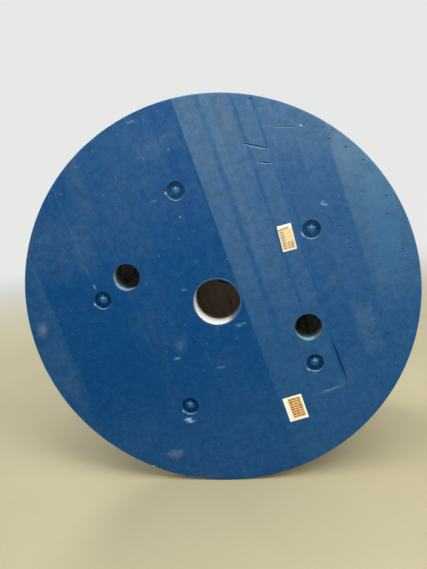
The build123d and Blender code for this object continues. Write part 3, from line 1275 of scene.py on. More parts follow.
@dataclass
class BoardLayer:
    """One layer of straight boards that together make the front flange round."""

    name: str
    outside: float
    seams: Sequence[float]
    lean: float
    holes: Sequence[Hole]
    seam: Seam
    tones: Sequence[float]
    rim_chamfer: float = 0.0
    setback: float = 0.0003
    unevenness: float = 0.0008
    cupping: float = 0.0003
    ripple: float = 0.0005
    ripple_size: float = 0.16
    face_band: float = 0.0034
    row_step: float = 0.036
    seed: int = 1
    rim_sides: int = 240

    def across(self) -> Vector:
        """Returns the direction across the boards."""
        return Vector((math.cos(self.lean), 0, math.sin(self.lean)))

    def along(self) -> Vector:
        """Returns the direction along the boards."""
        return Vector((-math.sin(self.lean), 0, math.cos(self.lean)))

    def disc(self) -> Object:
        """Models the whole layer as one bored disc, cut into rows across the boards."""
        middle = -self.outside + LAYER_THICKNESS / 2
        blank = round_bar((0, middle, 0), FLANGE_RADIUS, LAYER_THICKNESS, self.rim_sides)
        if self.rim_chamfer:
            with editing(blank):
                pick(blank, Pick.EDGES, lambda edge: all(
                    v.co.y < -self.outside + TOUCHING for v in edge.verts))
                bpy.ops.mesh.bevel(offset=self.rim_chamfer, segments=2, affect="EDGES")
        tools = [hole.tool(self.outside, LAYER_THICKNESS) for hole in self.holes]
        carve(blank, joined(tools, "hole_tools"))
        rows = int(2 * FLANGE_RADIUS / self.row_step)
        with editing(blank):
            for row in range(1, rows):
                slice_at(self.along() * (row * self.row_step - FLANGE_RADIUS), self.along())
        return blank

    def pick_line(self, board: Object, place: float) -> int:
        """Selects the outward face's vertices at one place across the boards."""
        across = self.across()
        return pick(board, Pick.VERTS, lambda v: v.co.y < -self.outside + TOUCHING
                    and abs(v.co.dot(across) - place) < TOUCHING)

    def board(self, blank: Object, low: float, high: float, edges: tuple[Seam, Seam],
              dice: random.Random) -> Object:
        """Cuts one board out of the bored disc and wears it.

        Args:
            blank: the bored disc.
            low: the seam on the board's one side.
            high: the seam on its other side.
            edges: how those two seams show.
            dice: the source of its unevenness.

        Returns:
            The board.
        """
        across = self.across()
        board = copy_of(blank)
        low_gap, low_wear, low_drop = edges[0].value
        high_gap, high_wear, high_drop = edges[1].value
        low, high = low + low_gap, high - high_gap
        with editing(board):
            slice_at(across * high, across, trim=True)
            slice_at(across * low, -across, trim=True)
            for place in (low + low_wear, high - high_wear):
                slice_at(across * place, across)
            lines = [low + (high - low) * share for share in (0.25, 0.5, 0.75)]
            for place in lines:
                slice_at(across * place, across)
            for place, worn_off in ((low, low_drop), (high, high_drop)):
                if self.pick_line(board, place):
                    slide((0, worn_off, 0))
            cup = dice.uniform(-1, 1) * self.cupping
            for place, height in zip(lines, (0.75, 1.0, 0.75)):
                if self.pick_line(board, place):
                    slide((0, abs(cup) + cup * height, 0))
            pick(board, Pick.VERTS, lambda v: v.co.y < -self.outside + self.face_band)
            slide((0, self.setback + dice.uniform(0, self.unevenness), 0))
        return board

    def build(self, name: str) -> Object:
        """Models all the boards of the layer as one piece, and returns it.

        Args:
            name: the piece's name.

        Returns:
            The boards.
        """
        dice = random.Random(self.seed)
        blank = self.disc()
        beyond = FLANGE_RADIUS + 0.01
        limits = [-beyond, *self.seams, beyond]
        kinds = [Seam.OPEN, *[self.seam] * len(self.seams), Seam.OPEN]
        boards = []
        for index, (low, high) in enumerate(zip(limits, limits[1:])):
            board = self.board(blank, low, high, (kinds[index], kinds[index + 1]), dice)
            tag(board, self.tones[index])
            boards.append(board)
        scrap(blank)
        whole = joined(boards, name)
        self.rippled(whole)
        return whole

    def rippled(self, piece: Object) -> None:
        """Makes the outward faces gently uneven.

        Args:
            piece: all the layer's boards.
        """
        near = [v.index for v in piece.data.vertices if v.co.y < -self.outside + 0.0030]
        group = piece.vertex_groups.new(name="outward_face")
        group.add(near, 1.0, "REPLACE")
        texture = bpy.data.textures.new(f"{self.name}_ripple", "CLOUDS")
        texture.noise_scale = self.ripple_size
        texture.noise_depth = 2
        modified(piece, "DISPLACE", texture=texture, texture_coords="LOCAL", direction="Y",
                 vertex_group=group.name, strength=self.ripple, mid_level=0.0)
        piece.vertex_groups.clear()


def mirrored(piece: Object, name: str) -> Object:
    """Copies a front piece to the back flange.

    Args:
        piece: the front piece.
        name: the back piece's name.

    Returns:
        The back piece, its faces outwards.
    """
    twin = named(copy_of(piece), name)
    with editing(twin):
        bpy.ops.mesh.select_all(action="SELECT")
        bpy.ops.transform.resize(value=(1, -1, 1), center_override=(0, 0, 0))
    outward(twin)
    return twin


@dataclass(frozen=True)
class Gouge:
    """A split or scrape across boards: its two ends, width, depth and how much it wanders."""

    start: Point
    end: Point
    width: float
    depth: float
    wander: float = 0.002
    proud: float = 0.004
    pieces: int = 9

    def tool(self, surface: float, dice: random.Random) -> Object:
        """Models the wedge that cuts the gouge, steep above and sloping below.

        Args:
            surface: the Y of the face that it cuts.
            dice: the source of its wandering.

        Returns:
            A closed wedge.
        """
        a, b = Vector((self.start[0], 0, self.start[1])), Vector((self.end[0], 0, self.end[1]))
        run = b - a
        wedge = settle(added(bpy.ops.mesh.primitive_cylinder_add, vertices=3, radius=1.0,
                             depth=run.length, rotation=(0, math.pi / 2, 0)))
        half_mouth = self.width * (1 + self.proud / self.depth) / 2
        corners = ((-self.proud, half_mouth), (-self.proud, -half_mouth),
                   (self.depth, self.width * 0.05))
        third = 2 * math.pi / 3
        for vertex in wedge.data.vertices:
            corner = round(math.atan2(vertex.co.z, vertex.co.y) / third) % 3
            vertex.co.y, vertex.co.z = corners[corner]
        with editing(wedge):
            slice_evenly(run.length, self.pieces, Vector((1, 0, 0)))
            for i in range(self.pieces + 1):
                x = run.length * (i / self.pieces - 0.5)
                pick(wedge, Pick.VERTS, lambda v: abs(v.co.x - x) < TOUCHING)
                slide((0, 0, dice.uniform(-1, 1) * self.wander))
                taper = max(0.12, math.sin(math.pi * (i + 0.3) / (self.pieces + 0.6)) ** 0.5)
                bpy.ops.transform.resize(value=(1, taper, taper), center_override=(x, -self.proud, 0))
        turn = math.atan2(-run.z, run.x)
        middle = (a + b) / 2
        wedge.matrix_world = Matrix.Translation(
            (middle.x, surface, middle.z)) @ Matrix.Rotation(turn, 4, "Y")
        settle(wedge)
        outward(wedge)
        return wedge


@dataclass(frozen=True)
class Dent:
    """A small dent in the painted face, wider than it is high."""

    centre: Point
    half_width: float
    half_height: float = 0.0035
    depth: float = 0.0016

    def tool(self, surface: float) -> Object:
        """Models the flattened ball that cuts the dent.

        Args:
            surface: the Y of the face that it cuts.

        Returns:
            A closed mesh.
        """
        x, z = self.centre
        ball = added(bpy.ops.mesh.primitive_uv_sphere_add, segments=14, ring_count=8, radius=1.0,
                     location=(x, surface, z))
        ball.scale = (self.half_width, self.depth, self.half_height)
        return settle(ball)


def surface_y(boards: Object, x: float, z: float, side: Side = Side.FRONT) -> float:
    """Returns the Y of the boards' outward face at a point.

    Args:
        boards: the outer boards.
        x: the point's X.
        z: the point's Z.
        side: the flange that they belong to.

    Returns:
        The face's Y there.
    """
    sign = -1 if side is Side.FRONT else 1
    hit, place, _, _ = boards.ray_cast(Vector((x, sign * 0.6, z)), Vector((0, -sign, 0)))
    return place.y if hit else sign * OUTER_FACE


@dataclass
class Nails:
    """Round nail heads driven into a flange under its paint."""

    rings: Sequence[tuple[float, int]]
    head_radius: float = 0.0044
    proud: float = 0.0001
    stray: float = 0.012
    wear: Sequence[float] = (0.0, 0.0, 0.0, 0.05)
    seed: int = 5

    def pattern(self) -> Object:
        """Models one nail head at the origin, its face towards -Y."""
        length = 0.003
        head = round_bar((0, length / 2, 0), self.head_radius, length, 12)
        with editing(head):
            pick(head, Pick.FACES, lambda face: face.normal.y < -0.9)
            bpy.ops.mesh.inset(thickness=self.head_radius * 0.3)
            slide((0, -0.00015, 0))
        return head

    def clear(self, x: float, z: float) -> bool:
        """Returns whether a nail at that point would miss every hole.

        Args:
            x: the point's X.
            z: the point's Z.

        Returns:
            Whether it would miss the holes and the rim.
        """
        radius = math.hypot(x, z)
        margin = 0.012
        return (BORE_RADIUS + 0.02 <= radius <= FLANGE_RADIUS - margin
                and distance_to(rod_points(), x, z) > RECESS_RADIUS + margin
                and distance_to(drive_points(), x, z) > DRIVE_HOLE_RADIUS + margin)

    def build(self, name: str, boards: Object, side: Side) -> Object:
        """Sets the nails into a flange.

        Args:
            name: the piece's name.
            boards: the finished outer boards.
            side: which flange they are in.

        Returns:
            All the heads as one piece.
        """
        dice = random.Random(self.seed)
        pattern = self.pattern()
        outward_turn = 0.0 if side is Side.FRONT else math.pi
        outward_way = -1 if side is Side.FRONT else 1
        heads = []
        for radius, count in self.rings:
            for index in range(count):
                angle = 360 / count * (index + dice.uniform(-0.22, 0.22))
                x, z = on_circle(radius + dice.uniform(-self.stray, self.stray), angle)
                wear = dice.choice(self.wear)
                if not self.clear(x, z):
                    continue
                y = surface_y(boards, x, z, side) + self.proud * outward_way
                head = copy_of(pattern)
                head.matrix_world = (Matrix.Translation((x, y, z))
                                     @ Matrix.Rotation(outward_turn, 4, "X"))
                tag(head, wear)
                heads.append(head)
        scrap(pattern)
        piece = joined(heads, name)
        smoothed(piece, 50)
        return piece


@dataclass(frozen=True)
class NailPaint(Finish):
    """Blue paint on nail heads, greyer towards the top as painted sheen, worn to bright metal where a
    head is tagged so.
    """

    name: str
    low: Colour = (0.003, 0.050, 0.152)
    high: Colour = (0.034, 0.092, 0.180)
    bright: Colour = (0.30, 0.40, 0.50)

    def mix(self) -> bpy.types.Material:
        """Builds the nail paint."""
        bench = self.bench()
        place = bench.place()
        wear = bench.tone()
        patch = bench.noise(place, 260.0, 4.0, 0.6)
        _, _, z = bench.parts(place)
        # Painted sheen: the nail paint greys towards the top, as the boards' paint does.
        paint = bench.blend(bench.ramp(z, -0.3, 0.9, 0.0, 0.8), self.low, self.high)
        share = bench.sums("MULTIPLY", wear, bench.ramp(patch, 0.30, 0.52, 0.55, 1.0))
        colour = bench.blend(share, paint, self.bright)
        return bench.finish(colour, 0.36, bench.bump(patch, 0.0003), Specular_IOR_Level=0.4)


@dataclass
class Flange:
    """Two crossed layers of boards with their nails, at the front and mirrored to the back."""

    # The front boards' tones are partly each board's own paint tone and partly painted sheen, each
    # board lighter or greyer as it catches the light.
    outer_tones: Sequence[float] = (0.34, 0.13, 0.14, 0.15, 0.15, 0.16, 0.13, 0.05,
                                    0.98, 0.98, 0.91, 0.64, 0.82, 1.30, 1.50)
    back_tones: Sequence[float] = (0.20, 0.05, 0.40, 0.12, 0.00, 0.30, 0.05, 0.25,
                                   0.10, 0.45, 0.20, 0.00, 0.35, 0.10, 0.20)
    gouges: Sequence[Gouge] = (
        Gouge((0.140, 0.687), (0.276, 0.653), 0.0105, 0.0050),
        Gouge((0.200, 0.606), (0.281, 0.593), 0.0085, 0.0036),
        Gouge((0.225, 0.753), (0.402, 0.731), 0.0055, 0.0020, 0.0015),
        Gouge((0.499, -0.171), (0.583, -0.424), 0.0085, 0.0034, 0.0012),
        Gouge((0.423, -0.464), (0.565, -0.414), 0.0040, 0.0008, 0.0030),
        Gouge((-0.280, 0.462), (-0.215, 0.480), 0.0030, 0.0010, 0.0010),
    )
    dents: Sequence[Dent] = tuple(Dent((x, z), half_width) for x, z, half_width in (
        (0.193, 0.861, 0.0080), (0.407, 0.741, 0.0070), (0.486, 0.415, 0.0095),
        (0.544, 0.314, 0.0060), (0.594, 0.215, 0.0070), (0.194, 0.268, 0.0060),
        (0.328, 0.095, 0.0060), (0.512, 0.678, 0.0070), (0.581, 0.640, 0.0080),
        (0.650, 0.583, 0.0070), (0.745, 0.429, 0.0060), (0.749, 0.353, 0.0060),
        (0.813, 0.199, 0.0070), (0.826, 0.120, 0.0060), (-0.321, 0.808, 0.0090),
        (-0.228, 0.860, 0.0060), (-0.030, -0.240, 0.0060), (0.260, -0.300, 0.0060),
        (-0.600, -0.240, 0.0060), (-0.420, 0.480, 0.0060), (0.700, -0.120, 0.0060),
        (0.620, -0.330, 0.0060), (0.120, -0.420, 0.0060),
    ))
    nails: Nails = field(default_factory=lambda: Nails(
        rings=((0.855, 46), (0.700, 38), (0.345, 18), (0.200, 10)),
    ))
    rim_chamfer: float = 0.004
    recess_lip: float = 0.0026
    drive_lip: float = 0.0030
    bore_lip: float = 0.0008
    gouge_drop: float = 0.0010

    @staticmethod
    def holes(rod_hole: float, lips: Sequence[float] = (0.0, 0.0, 0.0)) -> list[Hole]:
        """Lists a layer's holes.

        Args:
            rod_hole: the radius of the holes at the five rods.
            lips: the widths of the worn lips of the rod holes, drive holes and bore.

        Returns:
            The holes at the rods, the drive holes and the bore.
        """
        rods = [Hole(point, rod_hole, lips[0]) for point in rod_points()]
        drives = [Hole(point, DRIVE_HOLE_RADIUS, lips[1]) for point in drive_points()]
        return [*rods, *drives, Hole((0, 0), BORE_RADIUS, lips[2])]

    def outer_layer(self) -> Object:
        """Models the front flange's painted boards, without the gouges, and returns them."""
        holes = self.holes(RECESS_RADIUS, (self.recess_lip, self.drive_lip, self.bore_lip))
        layer = BoardLayer("outer_boards", OUTER_FACE, OUTER_SEAMS, LEAN, holes, Seam.FILLED,
                           self.outer_tones, rim_chamfer=self.rim_chamfer, unevenness=0.0002)
        return layer.build("front_painted_boards")

    def inner_layer(self) -> Object:
        """Models the back flange's bare boards, which face the barrel, and returns them."""
        dice = random.Random(23)
        tones = [round(dice.uniform(0.1, 0.9), 2) for _ in range(len(INNER_SEAMS) + 1)]
        layer = BoardLayer("inner_boards", -INNER_FACE, INNER_SEAMS, LEAN + math.pi / 2,
                           self.holes(ROD_HOLE_RADIUS), Seam.OPEN, tones, seed=8)
        return layer.build("back_bare_boards")

    def gouged(self, boards: Object) -> None:
        """Cuts the splits and scrapes into the front boards.

        Args:
            boards: the front outer boards.
        """
        dice = random.Random(11)
        tools = [gouge.tool(-OUTER_FACE + self.gouge_drop, dice) for gouge in self.gouges]
        tools += [dent.tool(surface_y(boards, *dent.centre)) for dent in self.dents]
        tool = joined(tools, "gouge_tools")
        tag(tool, SCAR_TONE)
        carve(boards, tool)

    @staticmethod
    def retagged(boards: Object, tones: Sequence[float]) -> None:
        """Gives the boards of a mirrored layer other tones, by where their faces lie.

        Args:
            boards: the mirrored boards.
            tones: the tone of each board.
        """
        across = Vector((math.cos(LEAN), 0, math.sin(LEAN)))
        places = [face.center.dot(across) for face in boards.data.polygons]
        tag(boards, [tones[sum(seam < place for seam in OUTER_SEAMS)] for place in places])

    @staticmethod
    def outer_coat(face: bpy.types.MeshPolygon, tone: float,
                   paint: Enamel) -> tuple[Finish, float]:
        """Chooses the finish of one face of the outer boards by where it lies.

        Args:
            face: the face.
            tone: its board's tone, or a scar's.
            paint: the flange's enamel.

        Returns:
            The finish, and the tone that it takes there.
        """
        x, y, z = face.center
        flat = abs(face.normal.y)
        steep = 0.3
        hole = min(rod_points() + drive_points(), key=lambda point: math.dist((x, z), point))
        recess = hole in rod_points()
        hole_radius = RECESS_RADIUS if recess else DRIVE_HOLE_RADIUS
        inside = math.dist((x, z), hole) < hole_radius + HOLE_REACH
        bearing = math.atan2(z - hole[1], x - hole[0])
        at_face = abs(y) > OUTER_FACE - FACE_DEPTH
        at_rim = math.hypot(x, z) > FLANGE_RADIUS - RIM_REACH
        # In gouges and dents, faces that face down or steeply take dark paint as painted shade, and
        # the upward faces a pale tone, partly bare scrape and partly painted highlight.
        if tone > SCAR_TONE - 0.1:
            deep = face.normal.z < steep or flat < steep
            return (CRACK_SHADE_PAINT, DARKEST_TONE) if deep else (paint, SCRAPE_HIGHLIGHT_TONE)
        if inside and at_face and steep < flat < 0.95:
            # Painted highlight: each recess's lower lip is painted pale on the side where the light
            # catches it.
            worn = math.cos(bearing - RECESS_HIGHLIGHT_SIDE)
            if recess and worn > 0.3:
                tone = SCAR_START + 0.24 * worn ** 2
            return LIP_PAINT, tone
        if (at_face and flat > steep) or (at_rim and abs(y) > OUTER_FACE - RIM_REACH):
            return paint, tone
        if at_rim:
            return RIM, tone
        if inside and recess:
            # The upper recesses' walls are painted lighter: painted light in the shaded recess.
            return RECESS_PAINT, 1.0 if hole[1] > 0.2 else DARKEST_TONE
        if inside:
            # A drive hole's pale coat shows most on its lower-left wall, the side the light falls on:
            # partly real paint, partly painted light.
            return DRIVE_PAINT, min(1.0, max(0.0, 0.45 + 0.75 * math.cos(bearing - DRIVE_LIT_SIDE)))
        return OUTER_WOOD, tone

    def dress_outer(self, boards: Object, paint: Enamel) -> None:
        """Lays paint, rim and bare wood on the outer boards.

        Args:
            boards: the outer boards.
            paint: the flange's enamel.
        """
        tones = [value.value for value in boards.data.attributes[TONE].data]
        coats = [self.outer_coat(face, tone, paint)
                 for face, tone in zip(boards.data.polygons, tones)]
        finishes = (paint, RIM, OUTER_WOOD, RECESS_PAINT, DRIVE_PAINT, LIP_PAINT, CRACK_SHADE_PAINT)
        lay_by_face(boards, finishes, [finish for finish, _ in coats])
        tag(boards, [tone for _, tone in coats])

    @staticmethod
    def inner_coat(face: bpy.types.MeshPolygon) -> Finish:
        """Chooses the finish of one face of the inner boards by where it lies.

        Args:
            face: the face.

        Returns:
            The finish.
        """
        x, y, z = face.center
        if math.hypot(x, z) > FLANGE_RADIUS - 0.0015 and abs(face.normal.y) < 0.5:
            return RIM
        if abs(y) > LAYER_JOINT - 0.0005 and distance_to(rod_points(), x, z) < RECESS_RADIUS + 0.03:
            return RECESS_PAINT
        if distance_to(drive_points(), x, z) < DRIVE_HOLE_RADIUS + 0.002:
            return DRIVE_DIRT_AND_SHADE
        return CROSS_WOOD

    def build(self) -> Object:
        """Models and dresses both flanges, and returns the front painted boards."""
        front = self.outer_layer()
        back = mirrored(front, "back_painted_boards")
        self.retagged(back, self.back_tones)
        self.gouged(front)
        for boards, side, stains, sheen_shade_bands in ((front, Side.FRONT, FRONT_STAINS, FRONT_SHEEN_SHADE_BANDS),
                                            (back, Side.BACK, BACK_STAINS, ())):
            self.dress_outer(boards, Enamel(f"{side.value}_enamel", stains=stains, sheen_shade_bands=sheen_shade_bands))
            smoothed(boards, 25)
            enrol(boards, [f"{side.value}_outer_boards"])
        bare = self.inner_layer()
        for boards, side in ((mirrored(bare, "front_bare_boards"), Side.FRONT), (bare, Side.BACK)):
            lay_by_face(boards, (CROSS_WOOD, RIM, RECESS_PAINT, DRIVE_DIRT_AND_SHADE),
                        [self.inner_coat(face) for face in boards.data.polygons])
            smoothed(boards, 25)
            enrol(boards, [f"{side.value}_inner_boards"])
        paint = NailPaint("nail_paint")
        for boards, side in ((front, Side.FRONT), (back, Side.BACK)):
            heads = self.nails.build(f"{side.value}_nail_heads", boards, side)
            paint.lay(heads)
            enrol(heads)
        return front


@dataclass
class Barrel:
    """The staves round the barrel, each a flat board, with the nails at their ends."""

    count: int = 36
    seat_radius: float = 0.560
    thickness: float = 0.040
    width: float = 0.0969
    length: float = 0.899
    rows: int = 12
    columns: int = 4
    edge: float = 0.0016
    nail_line: float = 0.428
    nail_half_gap: float = 0.024
    seed: int = 3

    def stave(self) -> Object:
        """Models the top stave, its edges eased and its length cut into rows."""
        middle = self.seat_radius + self.thickness / 2
        stave = settle(added(bpy.ops.mesh.primitive_cube_add, size=1.0, location=(0, 0, middle),
                             scale=(self.width, self.length, self.thickness)))
        with editing(stave):
            slice_evenly(self.length, self.rows, Vector((0, 1, 0)))
            slice_evenly(self.width, self.columns, Vector((1, 0, 0)))
        eased(stave, self.edge, 2, 60)
        return stave

    def build(self) -> Object:
        """Sets the staves round the barrel, each a little different, and returns them."""
        dice = random.Random(self.seed)
        pattern = self.stave()
        top = self.seat_radius + self.thickness
        staves = []
        for index in range(self.count):
            stave = copy_of(pattern)
            sink = dice.uniform(0.0, 0.0016)
            cup = dice.uniform(-0.0006, 0.0006)
            with editing(stave):
                pick(stave, Pick.VERTS, lambda v: v.co.z > top - 0.004)
                slide((0, 0, -sink))
                pick(stave, Pick.VERTS, lambda v: v.co.z > top - 0.006 and abs(v.co.x) < 0.03)
                slide((0, 0, cup - abs(cup)))
            stave.matrix_world = Matrix.Rotation(2 * math.pi * index / self.count, 4, "Y")
            tag(stave, round(dice.uniform(0.0, 1.0), 3))
            staves.append(stave)
        scrap(pattern)
        piece = joined(staves, "barrel_boards")
        inside = self.seat_radius + 0.002
        lay_by_face(piece, (STAVE_WOOD, INSIDE_WOOD), [
            INSIDE_WOOD if math.hypot(face.center.x, face.center.z) < inside else STAVE_WOOD
            for face in piece.data.polygons])
        smoothed(piece, 35)
        return enrol(piece, ["barrel_staves"])

    def nails(self, boards: Object) -> Object:
        """Sets two nails in each end of each stave.

        Args:
            boards: the finished staves.

        Returns:
            All the heads as one piece.
        """
        dice = random.Random(31)
        pattern = Nails(rings=()).pattern()
        top = self.seat_radius + self.thickness
        corners = [(end, shift) for end in (-1, 1)
                   for shift in (-self.nail_half_gap, self.nail_half_gap)]
        heads = []
        for index in range(self.count):
            swing = Matrix.Rotation(2 * math.pi * index / self.count, 4, "Y")
            inward = swing @ Vector((0, 0, -1))
            for end, shift in corners:
                head = copy_of(pattern)
                spot = Vector((shift + dice.uniform(-0.006, 0.006),
                               end * (self.nail_line + dice.uniform(-0.006, 0.004)), top + 0.05))
                hit, place, _, _ = boards.ray_cast(swing @ spot, inward)
                spot.z = (place.dot(-inward) if hit else top - 0.001) - 0.0001
                head.matrix_world = (swing @ Matrix.Translation(spot)
                                     @ Matrix.Rotation(-math.pi / 2, 4, "X"))
                tag(head, 0.0)
                heads.append(head)
        scrap(pattern)
        piece = joined(heads, "stave_nail_heads")
        ROD_STEEL.lay(piece)
        smoothed(piece, 50)
        return enrol(piece)


@dataclass
class TieRods:
    """The five tie rods with threaded ends, and a washer and a nut at each end."""

    radius: float = 0.012
    thread_root: float = 0.0107
    ridge: float = 0.0013
    pitch: float = 0.003
    turns: int = 10
    end: float = 0.5225
    thread_start: float = 0.490
    step_back: float = 0.030
    tip: float = 0.002
    washer_radius: float = 0.036
    washer_thickness: float = 0.005
    across_flats: float = 0.036
    nut_height: float = 0.0215
    corner_drop: float = 0.0016
    # The two upper bolts' washers are painted lighter: painted light in their shaded recesses.
    washer_tones: Sequence[float] = (0.38, 0.38, 0.18, 0.18, 0.22)

    def thread(self) -> Object:
        """Models the ridge of the front thread, wound round Y by a screw modifier."""
        ridge = settle(added(
            bpy.ops.mesh.primitive_circle_add, vertices=3, radius=self.ridge, fill_type="NGON",
            location=(self.thread_root + 0.0002, 0, 0), rotation=(0, 0, -math.pi / 2)
        ))
        modified(ridge, "SCREW", axis="Y", screw_offset=self.pitch, iterations=self.turns,
                 steps=24, render_steps=24)
        with editing(ridge):
            bpy.ops.mesh.select_all(action="SELECT")
            slide((0, -self.end + 0.0022, 0))
            bpy.ops.mesh.remove_doubles(threshold=MERGING)
            bpy.ops.mesh.fill_holes(sides=6)
            bpy.ops.mesh.select_all(action="SELECT")
            bpy.ops.mesh.normals_make_consistent(inside=False)
        return ridge

    def rod(self) -> Object:
        """Models one rod on the axis, stepped down to its thread at both ends."""
        shank = self.thread_start - self.step_back
        bar = round_bar((0, 0, 0), self.radius, 2 * shank, 32)
        step = self.radius - self.thread_root
        threaded = self.end - shank - step - self.tip
        with editing(bar):
            for sign in (-1, 1):
                pick(bar, Pick.FACES, lambda face: face.normal.y * sign > 0.9)
                for move, size in ((step, self.thread_root / self.radius), (threaded, 1.0),
                                   (self.tip, 0.80)):
                    bpy.ops.mesh.extrude_region_move(
                        TRANSFORM_OT_translate={"value": (0, sign * move, 0)})
                    bpy.ops.transform.resize(value=(size, 1, size), center_override=(0, 0, 0))
        front = self.thread()
        back = mirrored(front, "thread")
        rod = joined([bar, front, back], "tie_rod")
        smoothed(rod, 35)
        return rod

    def washer(self) -> Object:
        """Models the front washer on the axis, its edges rounded by paint."""
        middle = -LAYER_JOINT - self.washer_thickness / 2
        ring = round_bar((0, middle, 0), self.washer_radius, self.washer_thickness, 48)
        carve(ring, round_bar((0, middle, 0), ROD_HOLE_RADIUS, 0.02, 48))
        eased(ring, 0.0011, 3, 40)
        smoothed(ring, 40)
        return ring

    def nut(self) -> Object:
        """Models the front nut on the axis: a hexagon turned to a cone at both faces."""
        seat = -LAYER_JOINT - self.washer_thickness
        middle = seat - self.nut_height / 2
        corner = self.across_flats / 2 / math.cos(math.pi / 6)
        hexagon = round_bar((0, middle, 0), corner, self.nut_height, 6)
        blank = round_bar((0, middle, 0), corner * 0.995, self.nut_height - 0.0001, 64)
        with editing(blank):
            for sign in (-1, 1):
                pick(blank, Pick.FACES, lambda face: face.normal.y * sign > 0.9)
                bpy.ops.mesh.inset(thickness=corner * 0.14)
            pick(blank, Pick.VERTS, lambda v: math.hypot(v.co.x, v.co.z) > corner * 0.98)
            bpy.ops.transform.resize(value=(1, 1 - 2 * self.corner_drop / self.nut_height, 1),
                                     center_override=(0, middle, 0))
        carve(hexagon, blank, Cut.SHARED)
        carve(hexagon, round_bar((0, middle, 0), self.radius + 0.0001, 0.05, 48))
        eased(hexagon, 0.0008, 2, 25)
        smoothed(hexagon, 35)
        return hexagon

    @staticmethod
    def rod_tone(face: bpy.types.MeshPolygon) -> float:
        """Returns how pale a face of the rod's end is: a painted highlight along its top."""
        return 0.42 + (0.84 * max(0.0, face.normal.z) if face.center.z > 0.004 else 0.0)

    @staticmethod
    def nut_tone(face: bpy.types.MeshPolygon) -> float:
        """Returns how pale a face of the nut is: a painted highlight on its upper slopes, and its
        front faces painted lighter than its sides.

        Args:
            face: the face.

        Returns:
            Its tone.
        """
        slope = -face.normal.y
        if face.normal.z > 0.15 and 0.2 < slope < 0.97:
            return 0.78
        return 0.40 if slope > 0.9 else 0.20

    def build(self) -> None:
        """Sets the rods, washers and nuts at their five places."""
        rod, washer, nut = self.rod(), self.washer(), self.nut()
        tag(rod, [self.rod_tone(face) for face in rod.data.polygons])
        tag(nut, [self.nut_tone(face) for face in nut.data.polygons])
        for number, (x, z) in enumerate(rod_points(), start=1):
            bar = joined([copy_of(rod, (x, 0, z))], f"threaded_rod_{number}")
            lay_by_face(bar, (ROD_STEEL, STEEL_PAINT), [
                STEEL_PAINT if abs(face.center.y) > LAYER_JOINT + 0.02 else ROD_STEEL
                for face in bar.data.polygons])
            enrol(bar, [f"tie_rod_{number}"])
            for kind, model in (("washer", washer), ("nut", nut)):
                front = joined([copy_of(model, (x, 0, z))], f"front_painted_{kind}_{number}")
                if kind == "washer":
                    tag(front, self.washer_tones[number - 1])
                back = mirrored(front, f"back_painted_{kind}_{number}")
                for piece, side in ((front, Side.FRONT), (back, Side.BACK)):
                    STEEL_PAINT.lay(piece)
                    enrol(piece, [f"{side.value}_{kind}_{number}"])
        for model in (rod, washer, nut):
            scrap(model)


@dataclass
class SpindleLiner:
    """The short white pipe that lines the spindle hole of each flange."""

    outer_radius: float = 0.1125
    wall: float = 0.0065
    setback: float = 0.0006
    rounding: float = 0.0018
    steps: int = 96

    def build(self) -> None:
        """Spins the pipe's wall round the axis, and mirrors it to the back."""
        length = OUTER_FACE - DISC_FACE
        middle = -(OUTER_FACE + DISC_FACE) / 2 + self.setback
        pipe = added(bpy.ops.mesh.primitive_plane_add, size=1.0,
                     location=(self.outer_radius - self.wall / 2, middle, 0))
        pipe.scale = (self.wall, length - 2 * self.setback, 1)
        settle(pipe)
        with editing(pipe):
            bpy.ops.mesh.select_all(action="SELECT")
            bpy.ops.mesh.bevel(offset=self.rounding, segments=3, affect="VERTICES")
            bpy.ops.mesh.select_all(action="SELECT")
            bpy.ops.mesh.spin(steps=self.steps, angle=2 * math.pi, center=(0, 0, 0),
                              axis=(0, 1, 0), use_auto_merge=True)
            pick(pipe, Pick.FACES, lambda face: abs(face.normal.z) > 0.999
                 and abs(face.calc_center_median().z) < MERGING)
            bpy.ops.mesh.delete(type="ONLY_FACE")
        outward(pipe)
        named(pipe, "front_pipe_liner")
        back = mirrored(pipe, "back_pipe_liner")
        for piece, side, finish in ((pipe, Side.FRONT, PIPE), (back, Side.BACK, SHADED_PIPE)):
            finish.lay(piece)
            smoothed(piece, 50)
            enrol(piece, [f"{side.value}_spindle_liner"])


@dataclass
class PaperLabel:
    """A thin paper label that lies on the front boards, its corners a little lifted."""

    name: str
    node: str
    centre: Point
    width: float
    height: float
    turn: float
    finish: LabelPaper
    corner_step: float = 0.000125
    thickness: float = 0.00015
    gap: float = 0.0001
    cuts: int = 11

    def build(self, boards: Object) -> None:
        """Lays the label on the boards.

        Args:
            boards: the finished front boards.
        """
        sheet = added(bpy.ops.mesh.primitive_plane_add, size=1.0, location=(0, 0, 0))
        sheet.scale = (self.width, self.height, 1)
        sheet.rotation_euler = (math.pi / 2, 0, 0)
        settle(sheet)
        with editing(sheet):
            bpy.ops.mesh.select_all(action="SELECT")
            bpy.ops.mesh.subdivide(number_cuts=self.cuts)
        x, z = self.centre
        sheet.matrix_world = Matrix.Translation((x, -OUTER_FACE, z)) @ Matrix.Rotation(
            math.radians(-self.turn), 4, "Y")
        settle(sheet)
        modified(sheet, "SHRINKWRAP", target=boards, wrap_method="NEAREST_SURFACEPOINT",
                 offset=self.gap)
        reach = math.hypot(self.width, self.height) / 2
        with editing(sheet):
            for share in (0.86, 0.95):
                pick(sheet, Pick.VERTS, lambda v: math.dist((v.co.x, v.co.z), self.centre)
                     > reach * share)
                slide((0, -self.corner_step, 0))
        modified(sheet, "SOLIDIFY", thickness=self.thickness, offset=1.0)
        named(sheet, self.name)
        self.finish.lay(sheet)
        smoothed(sheet, 50)
        enrol(sheet, [self.node])


